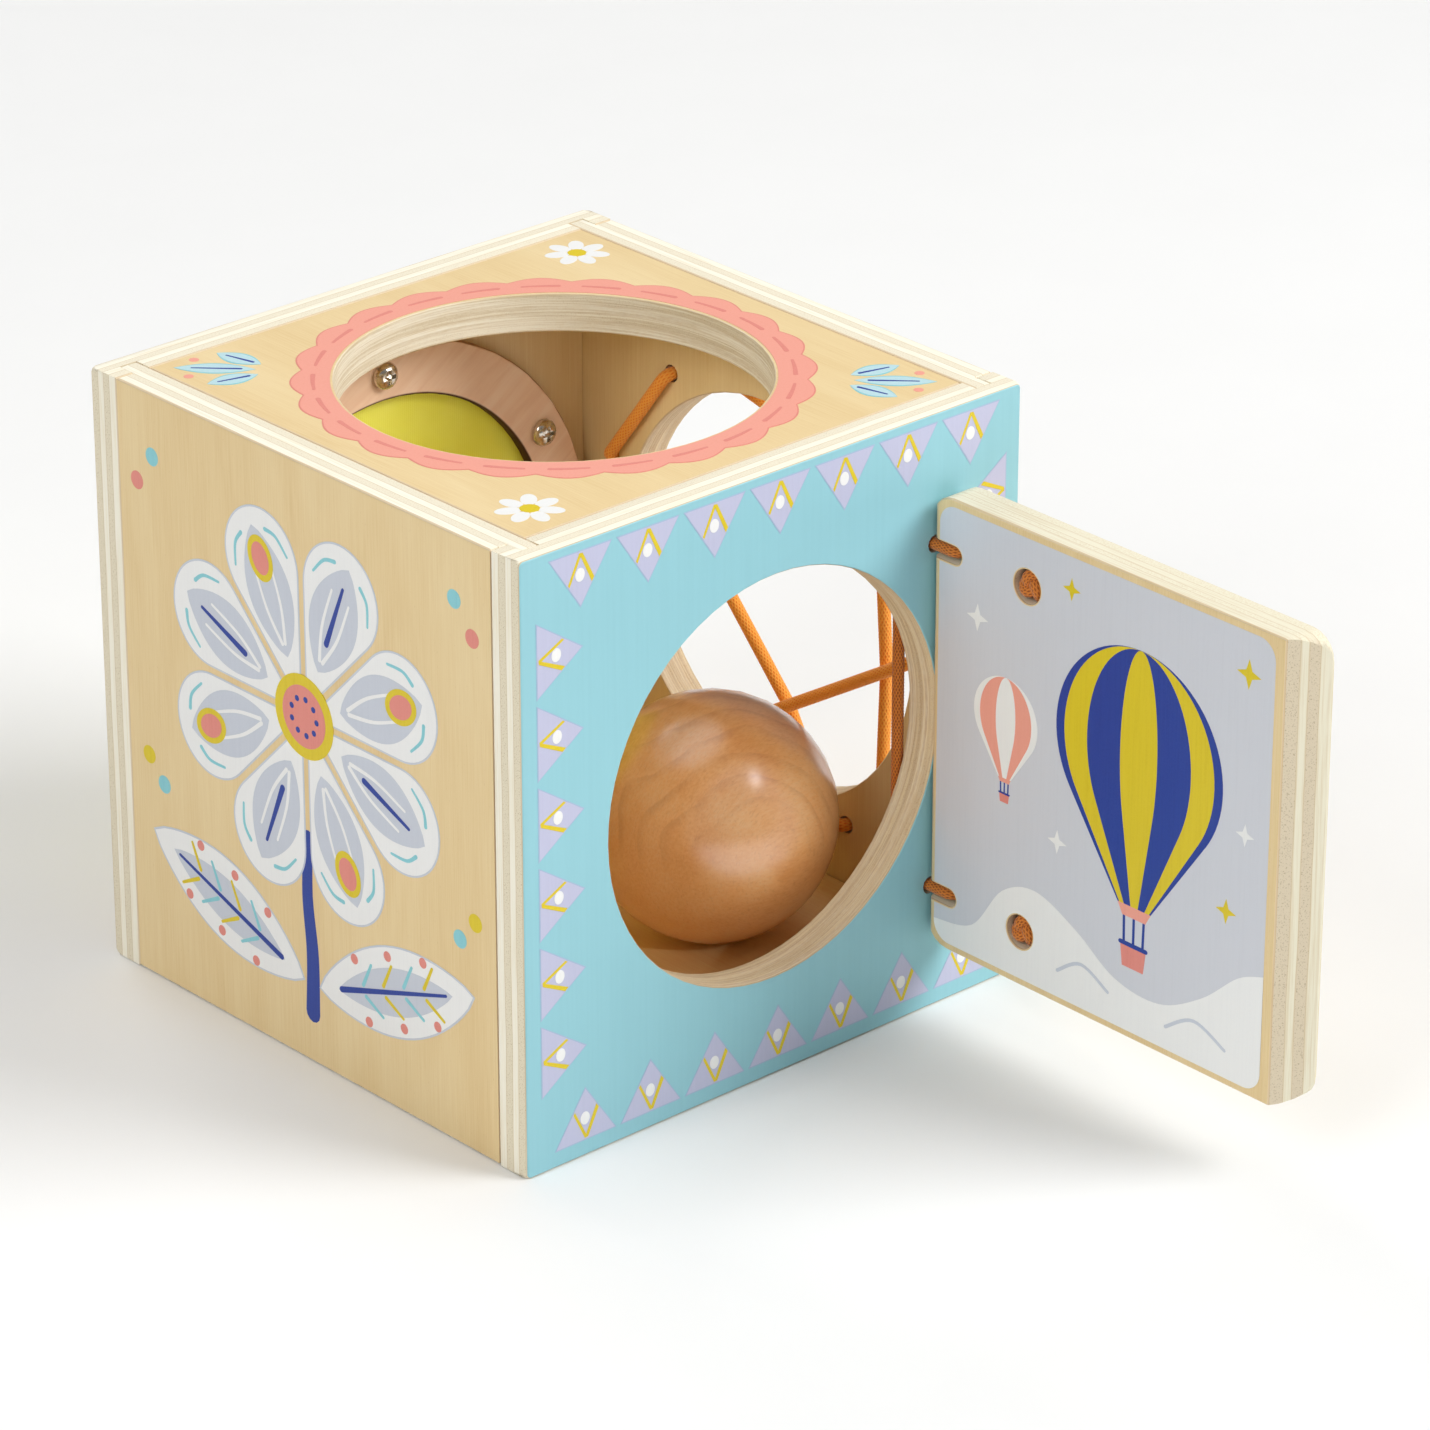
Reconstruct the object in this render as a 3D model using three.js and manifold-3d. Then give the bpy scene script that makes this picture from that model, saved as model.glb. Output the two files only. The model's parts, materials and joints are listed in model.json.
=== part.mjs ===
// Wooden activity cube: six plywood panels, a flap door on an elastic hinge, an opening laced with
// elastic cord, a fabric window held by a screwed ring, and a loose ball.
// Millimetres, +Z up. The origin is the centre of the underside and the door is on the -Y side.
import * as THREE from "three";
import { mergeVertices } from "three/addons/utils/BufferGeometryUtils.js";
import Module from "manifold-3d";

// Cube
const CUBE_EDGE = 140;
const PLY_THICKNESS = 9;
const CORNER_ROUND = 0.9;
const EDGE_EASE = 0.4;
const OPENING_RIM = 14.2;
const TONGUE_THICKNESS = 4.5;
const TONGUE_DEPTH = 4.5;
const GLUE_GAP = 0.1;

// Door, which stands open in this model
const DOOR_WIDTH = 107;
const DOOR_HEIGHT = 106;
const DOOR_THICKNESS = 9;
const DOOR_CORNER_RADIUS = 6;
const DOOR_FINGER_BEVEL = 5.6;
const DOOR_HINGE_ROUND = 2.2;
const DOOR_CLEARANCE = 0.5;
const DOOR_OPEN_ANGLE = Math.PI / 2;
const HINGE_AXIS_INSET = 3;
const HINGE_AXIS_SETBACK = 23.1;

// Elastic cord and the holes that it runs through
const CORD_DIAMETER = 3;
const CORD_HOLE_DIAMETER = 4.2;
const CORD_CLEARANCE = 0.25;
const CORD_BEND_RADIUS = 2.2;
const CORD_SIDES = 8;
const CORD_RINGS_PER_PIECE = 4;
const CROSSING_BEND_RADIUS = 12;

// Door hinge cord
const HINGE_CORD_OFFSET = 1.6;
const HINGE_CORD_SPREAD = 80.6;
const SLOT_WIDTH = 4.4;
const SLOT_DEPTH = 9;
const KNOT_HOLE_INSET = 28.5;
const KNOT_HOLE_DIAMETER = 8;
const KNOT_HOLE_DEPTH = 6.7;
const HINGE_KNOT_DIAMETER = 6.4;

// Web cord across the right opening: hole angles from +Y towards +Z, in the order of the lacing
const LACE_ANGLES = [112, 240, 301, 176, 150, 55, 20, 260];
const WEB_KNOT_DIAMETER = 6;

// Fabric window in the back panel; the screw head's dome is in shares of its radius and height
const FABRIC_SETBACK = 1.75;
const FABRIC_THICKNESS = 0.6;
const RING_WALL_CLEARANCE = 2.25;
const RING_OVERHANG = 0.4;
const RING_THICKNESS = 3;
const RING_EASE = 0.4;
const SCREW_COUNT = 6;
const SCREW_START_ANGLE = Math.PI / 6;
const SCREW_SHANK_DIAMETER = 3;
const SCREW_LENGTH = 9.5;
const SCREW_HEAD_DIAMETER = 6.4;
const SCREW_HEAD_HEIGHT = 2.2;
const SCREW_HEAD_DOME = [[0, 1], [0.55, 0.93], [0.85, 0.7], [1, 0.35], [1, 0]];
const SCREW_CLEARANCE = 0.15;
const RECESS_SPAN = 3.6;
const RECESS_WIDTH = 1;
const RECESS_DEPTH = 1.1;
const SEAT_GAP = 0.1;

// Ball, near the corner of the front and right panels
const BALL_DIAMETER = 56;
const BALL_FROM_RIGHT = 38.3;
const BALL_FROM_FRONT = 36.5;
const BALL_FLOOR_GAP = 0.2;

// Facets
const OPENING_STEPS = 64;
const CORNER_STEPS = 5;
const HOLE_STEPS = 12;
const SCREW_STEPS = 16;
const BALL_STEPS = 40;
const KNOT_STEPS = 12;
const CUT_PAST = 1;
const CORNER_FLATS = [[1, 1, 1], [2, 1, 1], [1, 2, 1], [1, 1, 2], [2, 2, 1], [2, 1, 2], [1, 2, 2]];

// Places that follow from the sizes
const HALF_EDGE = CUBE_EDGE / 2;
const INNER_FACE = HALF_EDGE - PLY_THICKNESS;
const MID_HEIGHT = CUBE_EDGE / 2;
const OPENING_RADIUS = INNER_FACE - OPENING_RIM;
const CORD_RADIUS = CORD_DIAMETER / 2;
const CORD_LIFT = CORD_RADIUS + CORD_CLEARANCE;
const CROSSING_LIFT = CORD_LIFT + CORD_DIAMETER + CORD_CLEARANCE + SEAT_GAP;
const HINGE_AXIS_X = HALF_EDGE - HINGE_AXIS_SETBACK;
const HINGE_AXIS_Y = -HALF_EDGE - DOOR_CLEARANCE - HINGE_AXIS_INSET;
const HINGE_CORD_X = HINGE_AXIS_X - HINGE_CORD_OFFSET;
const HINGE_CORD_TOP = MID_HEIGHT + HINGE_CORD_SPREAD / 2;
const HINGE_CORD_BOTTOM = MID_HEIGHT - HINGE_CORD_SPREAD / 2;
const LACE_CIRCLE_RADIUS = (OPENING_RADIUS + INNER_FACE) / 2;
const FABRIC_BACK_Y = INNER_FACE - SEAT_GAP;
const RING_BACK_Y = FABRIC_BACK_Y - FABRIC_THICKNESS - SEAT_GAP;
const RING_FRONT_Y = RING_BACK_Y - RING_THICKNESS;
const RING_INNER_RADIUS = OPENING_RADIUS - RING_OVERHANG;
const RING_OUTER_RADIUS = INNER_FACE - RING_WALL_CLEARANCE;
const FABRIC_RADIUS = RING_OUTER_RADIUS - FABRIC_SETBACK;
const SCREW_CIRCLE_RADIUS = (RING_INNER_RADIUS + RING_OUTER_RADIUS) / 2;

const wasm = await Module();
wasm.setup();

const birch = finish(0xe0c48f, 0.6);
const bluePaint = finish(0x99d3de, 0.5);
const ringBirch = finish(0xc79a72, 0.65);
const ballWood = finish(0xc8915f, 0.35);
const orangeElastic = finish(0xeb8728, 0.8);
const yellowFabric = finish(0xd7d232, 0.9);
const nickel = finish(0xc9c6c0, 0.3, 1);

function finish(color, roughness, metalness = 0) {
  return new THREE.MeshStandardMaterial({ color, roughness, metalness });
}

// Solid operations

function solidOf(geometry) {
  const bare = geometry.clone();
  bare.deleteAttribute("normal");
  bare.deleteAttribute("uv");
  const merged = mergeVertices(bare);
  const vertProperties = new Float32Array(merged.attributes.position.array);
  const triVerts = new Uint32Array(merged.index.array);
  return new wasm.Manifold(new wasm.Mesh({ numProp: 3, vertProperties, triVerts }));
}

function geometryOf(solid) {
  const mesh = solid.getMesh();
  const geometry = new THREE.BufferGeometry();
  geometry.setAttribute("position", new THREE.BufferAttribute(mesh.vertProperties, 3));
  geometry.setIndex(new THREE.BufferAttribute(mesh.triVerts, 1));
  geometry.computeVertexNormals();
  return geometry;
}

function cut(geometry, cutters) {
  let solid = solidOf(geometry);
  for (const cutter of cutters) {
    solid = solid.subtract(solidOf(cutter));
  }
  return geometryOf(solid);
}

function common(first, second) {
  return geometryOf(solidOf(first).intersect(solidOf(second)));
}

function joined(geometries) {
  const [first, ...rest] = geometries.map(solidOf);
  return geometryOf(rest.reduce((whole, solid) => whole.add(solid), first));
}

// Outlines and basic forms

function arcPoints(centerX, centerY, radius, from, to, steps) {
  const points = [];
  for (let step = 0; step <= steps; step += 1) {
    const angle = from + ((to - from) * step) / steps;
    points.push(new THREE.Vector2(centerX + radius * Math.cos(angle), centerY + radius * Math.sin(angle)));
  }
  return points;
}

function circlePoints(radius, steps, centerX = 0, centerY = 0) {
  return arcPoints(centerX, centerY, radius, 0, 2 * Math.PI, steps).slice(0, -1);
}

// A rectangle round (centerX, centerY); a radius of zero leaves its corners sharp.
function rectanglePoints(width, height, radius, centerX = 0, centerY = 0) {
  const corners = [[1, 1], [-1, 1], [-1, -1], [1, -1]];
  const points = [];
  corners.forEach(([sideX, sideY], quarter) => {
    const x = centerX + sideX * (width / 2 - radius);
    const y = centerY + sideY * (height / 2 - radius);
    const from = (quarter * Math.PI) / 2;
    const corner = arcPoints(x, y, radius, from, from + Math.PI / 2, CORNER_STEPS);
    points.push(...(radius > 0 ? corner : corner.slice(0, 1)));
  });
  return points;
}

// A plate with eased edges, its outline in XY and its thickness from z = 0 upwards.
function plate(outline, thickness, ease, holes = []) {
  const shape = new THREE.Shape(outline);
  shape.holes = holes.map((points) => new THREE.Path(points));
  const geometry = new THREE.ExtrudeGeometry(shape, {
    depth: thickness - 2 * ease,
    bevelEnabled: ease > 0,
    bevelThickness: ease,
    bevelSize: ease,
    bevelOffset: -ease,
    bevelSegments: 1,
  });
  return geometry.translate(0, 0, ease);
}

// Stands a plate on edge: its outline's Y becomes Z and its thickness runs from y = 0 towards -Y.
function standing(geometry) {
  return geometry.rotateX(Math.PI / 2);
}

function box(minX, maxX, minY, maxY, minZ, maxZ) {
  const geometry = new THREE.BoxGeometry(maxX - minX, maxY - minY, maxZ - minZ);
  return geometry.translate((minX + maxX) / 2, (minY + maxY) / 2, (minZ + maxZ) / 2);
}

// A turned form along +Z from [radius, height] pairs that start and end on the axis.
function turned(profile, steps) {
  const points = profile.map(([radius, height]) => new THREE.Vector2(radius, height));
  return new THREE.LatheGeometry(points, steps).rotateX(Math.PI / 2);
}

function rod(radius, from, to, steps) {
  return turned([[0, from], [radius, from], [radius, to], [0, to]], steps);
}

// Cutter for a round hole through a panel, flared where it eases the hole's two edges.
function easedBore(radius, thickness, ease, steps) {
  const wide = radius + ease + CUT_PAST;
  return turned(
    [
      [0, -CUT_PAST],
      [wide, -CUT_PAST],
      [radius, ease],
      [radius, thickness - ease],
      [wide, thickness + CUT_PAST],
      [0, thickness + CUT_PAST],
    ],
    steps,
  );
}

// Turns a form that was made along +Z to lie along +X or +Y.
function alongX(geometry) {
  return geometry.rotateY(Math.PI / 2);
}

function alongY(geometry) {
  return geometry.rotateX(-Math.PI / 2);
}

// A cord's route: straight runs joined by round bends. Its parameter counts runs and bends, not length,
// so that a short bend gets as many rings as a long run.
class CordRoute extends THREE.Curve {
  constructor(stops) {
    super();
    this.pieces = [];
    let start = stops[0].at;
    for (let index = 1; index < stops.length - 1; index += 1) {
      const corner = stops[index].at;
      const arriving = corner.clone().sub(stops[index - 1].at).normalize();
      const leaving = stops[index + 1].at.clone().sub(corner).normalize();
      const turn = arriving.angleTo(leaving);
      const reach = stops[index].bend * Math.tan(turn / 2);
      const handle = (4 / 3) * Math.tan(turn / 4) * stops[index].bend;
      const bendStart = corner.clone().addScaledVector(arriving, -reach);
      const bendEnd = corner.clone().addScaledVector(leaving, reach);
      const firstHandle = bendStart.clone().addScaledVector(arriving, handle);
      const secondHandle = bendEnd.clone().addScaledVector(leaving, -handle);
      this.pieces.push(new THREE.LineCurve3(start, bendStart));
      this.pieces.push(new THREE.CubicBezierCurve3(bendStart, firstHandle, secondHandle, bendEnd));
      start = bendEnd;
    }
    this.pieces.push(new THREE.LineCurve3(start, stops[stops.length - 1].at));
  }

  getPoint(t, target = new THREE.Vector3()) {
    const place = t * this.pieces.length;
    const index = Math.min(Math.floor(place), this.pieces.length - 1);
    return target.copy(this.pieces[index].getPoint(place - index));
  }

  getUtoTmapping(u) {
    return u;
  }
}

function cordAlong(stops) {
  const route = new CordRoute(stops);
  const section = new THREE.Shape(circlePoints(CORD_RADIUS, CORD_SIDES));
  const steps = route.pieces.length * CORD_RINGS_PER_PIECE;
  return new THREE.ExtrudeGeometry(section, { extrudePath: route, steps, bevelEnabled: false });
}

function stop(x, y, z, bend = CORD_BEND_RADIUS) {
  return { at: new THREE.Vector3(x, y, z), bend };
}

function knotAt(place, diameter) {
  const knot = new THREE.SphereGeometry(diameter / 2, KNOT_STEPS, KNOT_STEPS / 2);
  return knot.translate(place.x, place.y, place.z);
}

// Panels

// A front or back panel: full width, with a groove near each end for the side panels' tongues.
function grooveCutters() {
  const grooveFloor = TONGUE_DEPTH + GLUE_GAP;
  return [-1, 1].map((side) => {
    const outer = side * (INNER_FACE + TONGUE_THICKNESS);
    const inner = side * (INNER_FACE - GLUE_GAP);
    return box(
      Math.min(outer, inner),
      Math.max(outer, inner),
      -grooveFloor,
      CUT_PAST,
      -CUT_PAST,
      CUBE_EDGE + CUT_PAST,
    );
  });
}

// Rounds the four outer corners of a front or back panel with small flats that touch a ball in each corner.
function roundedCorners(geometry) {
  let solid = solidOf(geometry);
  for (const [sideX, sideZ] of [[1, 1], [-1, 1], [-1, -1], [1, -1]]) {
    const center = new THREE.Vector3(
      sideX * (HALF_EDGE - CORNER_ROUND),
      CORNER_ROUND - PLY_THICKNESS,
      MID_HEIGHT + sideZ * (HALF_EDGE - CORNER_ROUND),
    );
    for (const [x, y, z] of CORNER_FLATS) {
      const inward = new THREE.Vector3(-sideX * x, y, -sideZ * z).normalize();
      solid = solid.trimByPlane(inward.toArray(), inward.dot(center) - CORNER_ROUND);
    }
  }
  return geometryOf(solid);
}

// A grooved panel with its opening, its inner face on y = 0 and its outer face towards -Y.
function groovedPanel(smallHoles) {
  const outline = rectanglePoints(CUBE_EDGE, CUBE_EDGE, 0, 0, MID_HEIGHT);
  const opening = circlePoints(OPENING_RADIUS, OPENING_STEPS, 0, MID_HEIGHT);
  const blank = standing(plate(outline, PLY_THICKNESS, EDGE_EASE, [opening]));
  return cut(roundedCorners(blank), [...grooveCutters(), ...smallHoles]);
}

function frontPanel() {
  const cordHoles = [HINGE_CORD_TOP, HINGE_CORD_BOTTOM].map((height) => {
    const hole = rod(CORD_HOLE_DIAMETER / 2, -CUT_PAST, PLY_THICKNESS + CUT_PAST, HOLE_STEPS);
    return alongY(hole).translate(HINGE_CORD_X, -PLY_THICKNESS, height);
  });
  return groovedPanel(cordHoles).translate(0, -INNER_FACE, 0);
}

function screwPlaces() {
  return Array.from({ length: SCREW_COUNT }, (_, index) => {
    const angle = SCREW_START_ANGLE + (2 * Math.PI * index) / SCREW_COUNT;
    return {
      x: SCREW_CIRCLE_RADIUS * Math.cos(angle),
      z: MID_HEIGHT + SCREW_CIRCLE_RADIUS * Math.sin(angle),
    };
  });
}

// The back panel is the same grooved panel turned round, with pilot holes for the ring's screws.
function backPanel() {
  const tipDepth = RING_FRONT_Y + SCREW_LENGTH - INNER_FACE + SEAT_GAP;
  const pilotRadius = SCREW_SHANK_DIAMETER / 2 + SCREW_CLEARANCE;
  const pilotHoles = screwPlaces().map(({ x, z }) => {
    const hole = rod(pilotRadius, -tipDepth, CUT_PAST, HOLE_STEPS);
    return alongY(hole).translate(-x, 0, z);
  });
  return groovedPanel(pilotHoles).rotateZ(Math.PI).translate(0, INNER_FACE, 0);
}

// A side panel stands between the front and the back, with the inner half of each end as a tongue.
// The outer face is towards +X.
function sidePanel() {
  const shoulder = INNER_FACE - GLUE_GAP;
  const tongueEnd = INNER_FACE + TONGUE_DEPTH;
  const tongueOuter = INNER_FACE + TONGUE_THICKNESS - GLUE_GAP;
  const section = [
    [HALF_EDGE, -shoulder],
    [HALF_EDGE, shoulder],
    [tongueOuter, shoulder],
    [tongueOuter, tongueEnd],
    [INNER_FACE, tongueEnd],
    [INNER_FACE, -tongueEnd],
    [tongueOuter, -tongueEnd],
    [tongueOuter, -shoulder],
  ];
  const outline = section.map(([x, y]) => new THREE.Vector2(x, y));
  return plate(outline, CUBE_EDGE, EDGE_EASE);
}

function leftPanel() {
  return sidePanel().rotateZ(Math.PI);
}

function lacePlace(angle) {
  const radians = THREE.MathUtils.degToRad(angle);
  return {
    y: LACE_CIRCLE_RADIUS * Math.cos(radians),
    z: MID_HEIGHT + LACE_CIRCLE_RADIUS * Math.sin(radians),
  };
}

function rightPanel() {
  const opening = alongX(easedBore(OPENING_RADIUS, PLY_THICKNESS, EDGE_EASE, OPENING_STEPS));
  opening.translate(INNER_FACE, 0, MID_HEIGHT);
  const laceHoles = LACE_ANGLES.map((angle) => {
    const { y, z } = lacePlace(angle);
    const hole = rod(CORD_HOLE_DIAMETER / 2, -CUT_PAST, PLY_THICKNESS + CUT_PAST, HOLE_STEPS);
    return alongX(hole).translate(INNER_FACE, y, z);
  });
  return cut(sidePanel(), [opening, ...laceHoles]);
}

function topPanel() {
  const width = 2 * (INNER_FACE - GLUE_GAP);
  const outline = rectanglePoints(width, width, 0);
  const opening = circlePoints(OPENING_RADIUS, OPENING_STEPS);
  return plate(outline, PLY_THICKNESS, EDGE_EASE, [opening]).translate(0, 0, CUBE_EDGE - PLY_THICKNESS);
}

function bottomPanel() {
  const width = 2 * (INNER_FACE - GLUE_GAP);
  return plate(rectanglePoints(width, width, 0), PLY_THICKNESS, EDGE_EASE);
}

// Door

// The door in its closed attitude, with the hinge axis on x = y = 0 and its inner face towards +Y.
function door() {
  const hingeEdge = HINGE_AXIS_INSET;
  const freeEdge = hingeEdge - DOOR_WIDTH;
  const innerFace = HINGE_AXIS_INSET;
  const outerFace = innerFace - DOOR_THICKNESS;
  const centerX = (hingeEdge + freeEdge) / 2;
  const outline = rectanglePoints(DOOR_WIDTH, DOOR_HEIGHT, DOOR_CORNER_RADIUS, centerX, MID_HEIGHT);
  const blank = standing(plate(outline, DOOR_THICKNESS, EDGE_EASE)).translate(0, innerFace, 0);

  const roundCenter = hingeEdge - DOOR_HINGE_ROUND;
  const section = [
    new THREE.Vector2(freeEdge - CUT_PAST, outerFace - CUT_PAST),
    new THREE.Vector2(hingeEdge, outerFace - CUT_PAST),
    ...arcPoints(roundCenter, innerFace - DOOR_HINGE_ROUND, DOOR_HINGE_ROUND, 0, Math.PI / 2, CORNER_STEPS),
    new THREE.Vector2(freeEdge + DOOR_FINGER_BEVEL, innerFace),
    new THREE.Vector2(freeEdge, outerFace + EDGE_EASE),
    new THREE.Vector2(freeEdge - CUT_PAST, outerFace + EDGE_EASE),
  ];
  const formed = common(blank, plate(section, CUBE_EDGE, 0));

  const slotRadius = SLOT_WIDTH / 2;
  const slotEnd = hingeEdge - SLOT_DEPTH + slotRadius;
  const smallHole = CORD_HOLE_DIAMETER / 2;
  const largeHole = KNOT_HOLE_DIAMETER / 2;
  const cutters = [];
  for (const height of [HINGE_CORD_TOP, HINGE_CORD_BOTTOM]) {
    const slotOutline = [
      new THREE.Vector2(hingeEdge + CUT_PAST, height + slotRadius),
      ...arcPoints(slotEnd, height, slotRadius, Math.PI / 2, (3 * Math.PI) / 2, 2 * CORNER_STEPS),
      new THREE.Vector2(hingeEdge + CUT_PAST, height - slotRadius),
    ];
    const slot = standing(plate(slotOutline, DOOR_THICKNESS + 2 * CUT_PAST, 0));
    cutters.push(slot.translate(0, innerFace + CUT_PAST, 0));
    const steppedHole = turned(
      [
        [0, outerFace - CUT_PAST],
        [smallHole, outerFace - CUT_PAST],
        [smallHole, innerFace - KNOT_HOLE_DEPTH],
        [largeHole, innerFace - KNOT_HOLE_DEPTH],
        [largeHole, innerFace + CUT_PAST],
        [0, innerFace + CUT_PAST],
      ],
      2 * HOLE_STEPS,
    );
    cutters.push(alongY(steppedHole).translate(hingeEdge - KNOT_HOLE_INSET, 0, height));
  }
  return cut(formed, cutters);
}

// The hinge cord, with the door open: from a knot in the door along its outer face, through a slot and the
// front panel, down inside the panel and back the same way to the second knot.
function hingeCord() {
  const doorInner = HINGE_AXIS_X - HINGE_AXIS_INSET;
  const doorOuter = doorInner + DOOR_THICKNESS;
  const hingeEdgeY = HINGE_AXIS_Y + HINGE_AXIS_INSET;
  const slotY = hingeEdgeY - SLOT_DEPTH + SLOT_WIDTH / 2;
  const knotY = hingeEdgeY - KNOT_HOLE_INSET;
  const knotX = doorInner + KNOT_HOLE_DEPTH - HINGE_KNOT_DIAMETER / 2 - CORD_CLEARANCE;
  const outsideX = doorOuter + CORD_LIFT;
  const insideY = -INNER_FACE + CORD_LIFT;
  const stops = [
    stop(knotX, knotY, HINGE_CORD_TOP),
    stop(outsideX, knotY, HINGE_CORD_TOP),
    stop(outsideX, slotY, HINGE_CORD_TOP),
    stop(HINGE_CORD_X, slotY, HINGE_CORD_TOP),
    stop(HINGE_CORD_X, insideY, HINGE_CORD_TOP),
    stop(HINGE_CORD_X, insideY, HINGE_CORD_BOTTOM),
    stop(HINGE_CORD_X, slotY, HINGE_CORD_BOTTOM),
    stop(outsideX, slotY, HINGE_CORD_BOTTOM),
    stop(outsideX, knotY, HINGE_CORD_BOTTOM),
    stop(knotX, knotY, HINGE_CORD_BOTTOM),
  ];
  const knots = [stops[0], stops[stops.length - 1]].map(({ at }) => knotAt(at, HINGE_KNOT_DIAMETER));
  return joined([cordAlong(stops), ...knots]);
}

// Web cord

// Where the straight run between two lace holes comes closest to the line through two others.
function crossing(first, second, third, fourth) {
  const a = lacePlace(first);
  const b = lacePlace(second);
  const c = lacePlace(third);
  const d = lacePlace(fourth);
  const alongAB = { y: b.y - a.y, z: b.z - a.z };
  const alongCD = { y: d.y - c.y, z: d.z - c.z };
  const share =
    ((c.y - a.y) * alongCD.z - (c.z - a.z) * alongCD.y) / (alongAB.y * alongCD.z - alongAB.z * alongCD.y);
  return { y: a.y + share * alongAB.y, z: a.z + share * alongAB.z };
}

// The lacing: out through a hole, across the opening, in through the next and along the inner face.
// The first and the last run across cross over the other two, one cord's width further out.
function webCord() {
  const outerX = HALF_EDGE + CORD_LIFT;
  const innerX = INNER_FACE - CORD_LIFT;
  const overX = HALF_EDGE + CROSSING_LIFT;
  const knotX = INNER_FACE - CORD_CLEARANCE - WEB_KNOT_DIAMETER / 2;
  const [first, second, third, fourth, fifth, sixth, seventh, eighth] = LACE_ANGLES;
  const onFace = (x, angle) => {
    const { y, z } = lacePlace(angle);
    return stop(x, y, z);
  };
  const over = ({ y, z }) => stop(overX, y, z, CROSSING_BEND_RADIUS);
  const stops = [
    onFace(knotX, first),
    onFace(outerX, first),
    over(crossing(first, second, fifth, sixth)),
    over(crossing(first, second, third, fourth)),
    onFace(outerX, second),
    onFace(innerX, second),
    onFace(innerX, third),
    onFace(outerX, third),
    onFace(outerX, fourth),
    onFace(innerX, fourth),
    onFace(innerX, fifth),
    onFace(outerX, fifth),
    onFace(outerX, sixth),
    onFace(innerX, sixth),
    onFace(innerX, seventh),
    onFace(outerX, seventh),
    over(crossing(seventh, eighth, third, fourth)),
    onFace(outerX, eighth),
    onFace(knotX, eighth),
  ];
  const knots = [stops[0], stops[stops.length - 1]].map(({ at }) => knotAt(at, WEB_KNOT_DIAMETER));
  return joined([cordAlong(stops), ...knots]);
}

// Fabric window

function fabricMembrane() {
  const screwHoleRadius = SCREW_SHANK_DIAMETER / 2 + SCREW_CLEARANCE;
  const holes = screwPlaces().map(({ x, z }) => circlePoints(screwHoleRadius, HOLE_STEPS, x, z));
  const outline = circlePoints(FABRIC_RADIUS, OPENING_STEPS, 0, MID_HEIGHT);
  return standing(plate(outline, FABRIC_THICKNESS, 0, holes)).translate(0, FABRIC_BACK_Y, 0);
}

function clampRing() {
  const screwHoleRadius = SCREW_SHANK_DIAMETER / 2 + SCREW_CLEARANCE;
  const bore = circlePoints(RING_INNER_RADIUS, OPENING_STEPS, 0, MID_HEIGHT);
  const outline = circlePoints(RING_OUTER_RADIUS, OPENING_STEPS, 0, MID_HEIGHT);
  const blank = standing(plate(outline, RING_THICKNESS, RING_EASE, [bore])).translate(0, RING_BACK_Y, 0);
  const holes = screwPlaces().map(({ x, z }) => {
    const hole = rod(screwHoleRadius, -CUT_PAST, RING_THICKNESS + CUT_PAST, HOLE_STEPS);
    return alongY(hole).translate(x, RING_FRONT_Y, z);
  });
  return cut(blank, holes);
}

// A pan-head screw along +Z: the underside of the head is on z = 0 and the shank runs upwards.
function ringScrew() {
  const headRadius = SCREW_HEAD_DIAMETER / 2;
  const shankRadius = SCREW_SHANK_DIAMETER / 2;
  const dome = SCREW_HEAD_DOME.map(([radius, height]) => [radius * headRadius, -height * SCREW_HEAD_HEIGHT]);
  const body = turned(
    [
      ...dome,
      [shankRadius, 0],
      [shankRadius, SCREW_LENGTH - SCREW_SHANK_DIAMETER],
      [0, SCREW_LENGTH],
    ],
    SCREW_STEPS,
  );
  const recessFloor = RECESS_DEPTH - SCREW_HEAD_HEIGHT;
  const top = -SCREW_HEAD_HEIGHT - CUT_PAST;
  const halfSpan = RECESS_SPAN / 2;
  const halfWidth = RECESS_WIDTH / 2;
  return cut(body, [
    box(-halfSpan, halfSpan, -halfWidth, halfWidth, top, recessFloor),
    box(-halfWidth, halfWidth, -halfSpan, halfSpan, top, recessFloor),
  ]);
}

// Assembly

const cube = new THREE.Group();

function add(parent, name, geometry, material) {
  const mesh = new THREE.Mesh(geometry, material);
  mesh.name = name;
  parent.add(mesh);
  return mesh;
}

add(cube, "front_panel", frontPanel(), bluePaint);
add(cube, "back_panel", backPanel(), birch);
add(cube, "left_panel", leftPanel(), birch);
add(cube, "right_panel", rightPanel(), birch);
add(cube, "top_panel", topPanel(), birch);
add(cube, "bottom_panel", bottomPanel(), birch);

const doorHinge = new THREE.Group();
doorHinge.position.set(HINGE_AXIS_X, HINGE_AXIS_Y, 0);
doorHinge.rotation.z = DOOR_OPEN_ANGLE;
add(doorHinge, "door", door(), birch);
cube.add(doorHinge);
add(cube, "hinge_cord", hingeCord(), orangeElastic);

add(cube, "web_cord", webCord(), orangeElastic);

add(cube, "fabric_membrane", fabricMembrane(), yellowFabric);
add(cube, "clamp_ring", clampRing(), ringBirch);
screwPlaces().forEach(({ x, z }, index) => {
  const screw = add(cube, `ring_screw_${index + 1}`, alongY(ringScrew()), nickel);
  screw.position.set(x, RING_FRONT_Y - SEAT_GAP, z);
});

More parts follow.
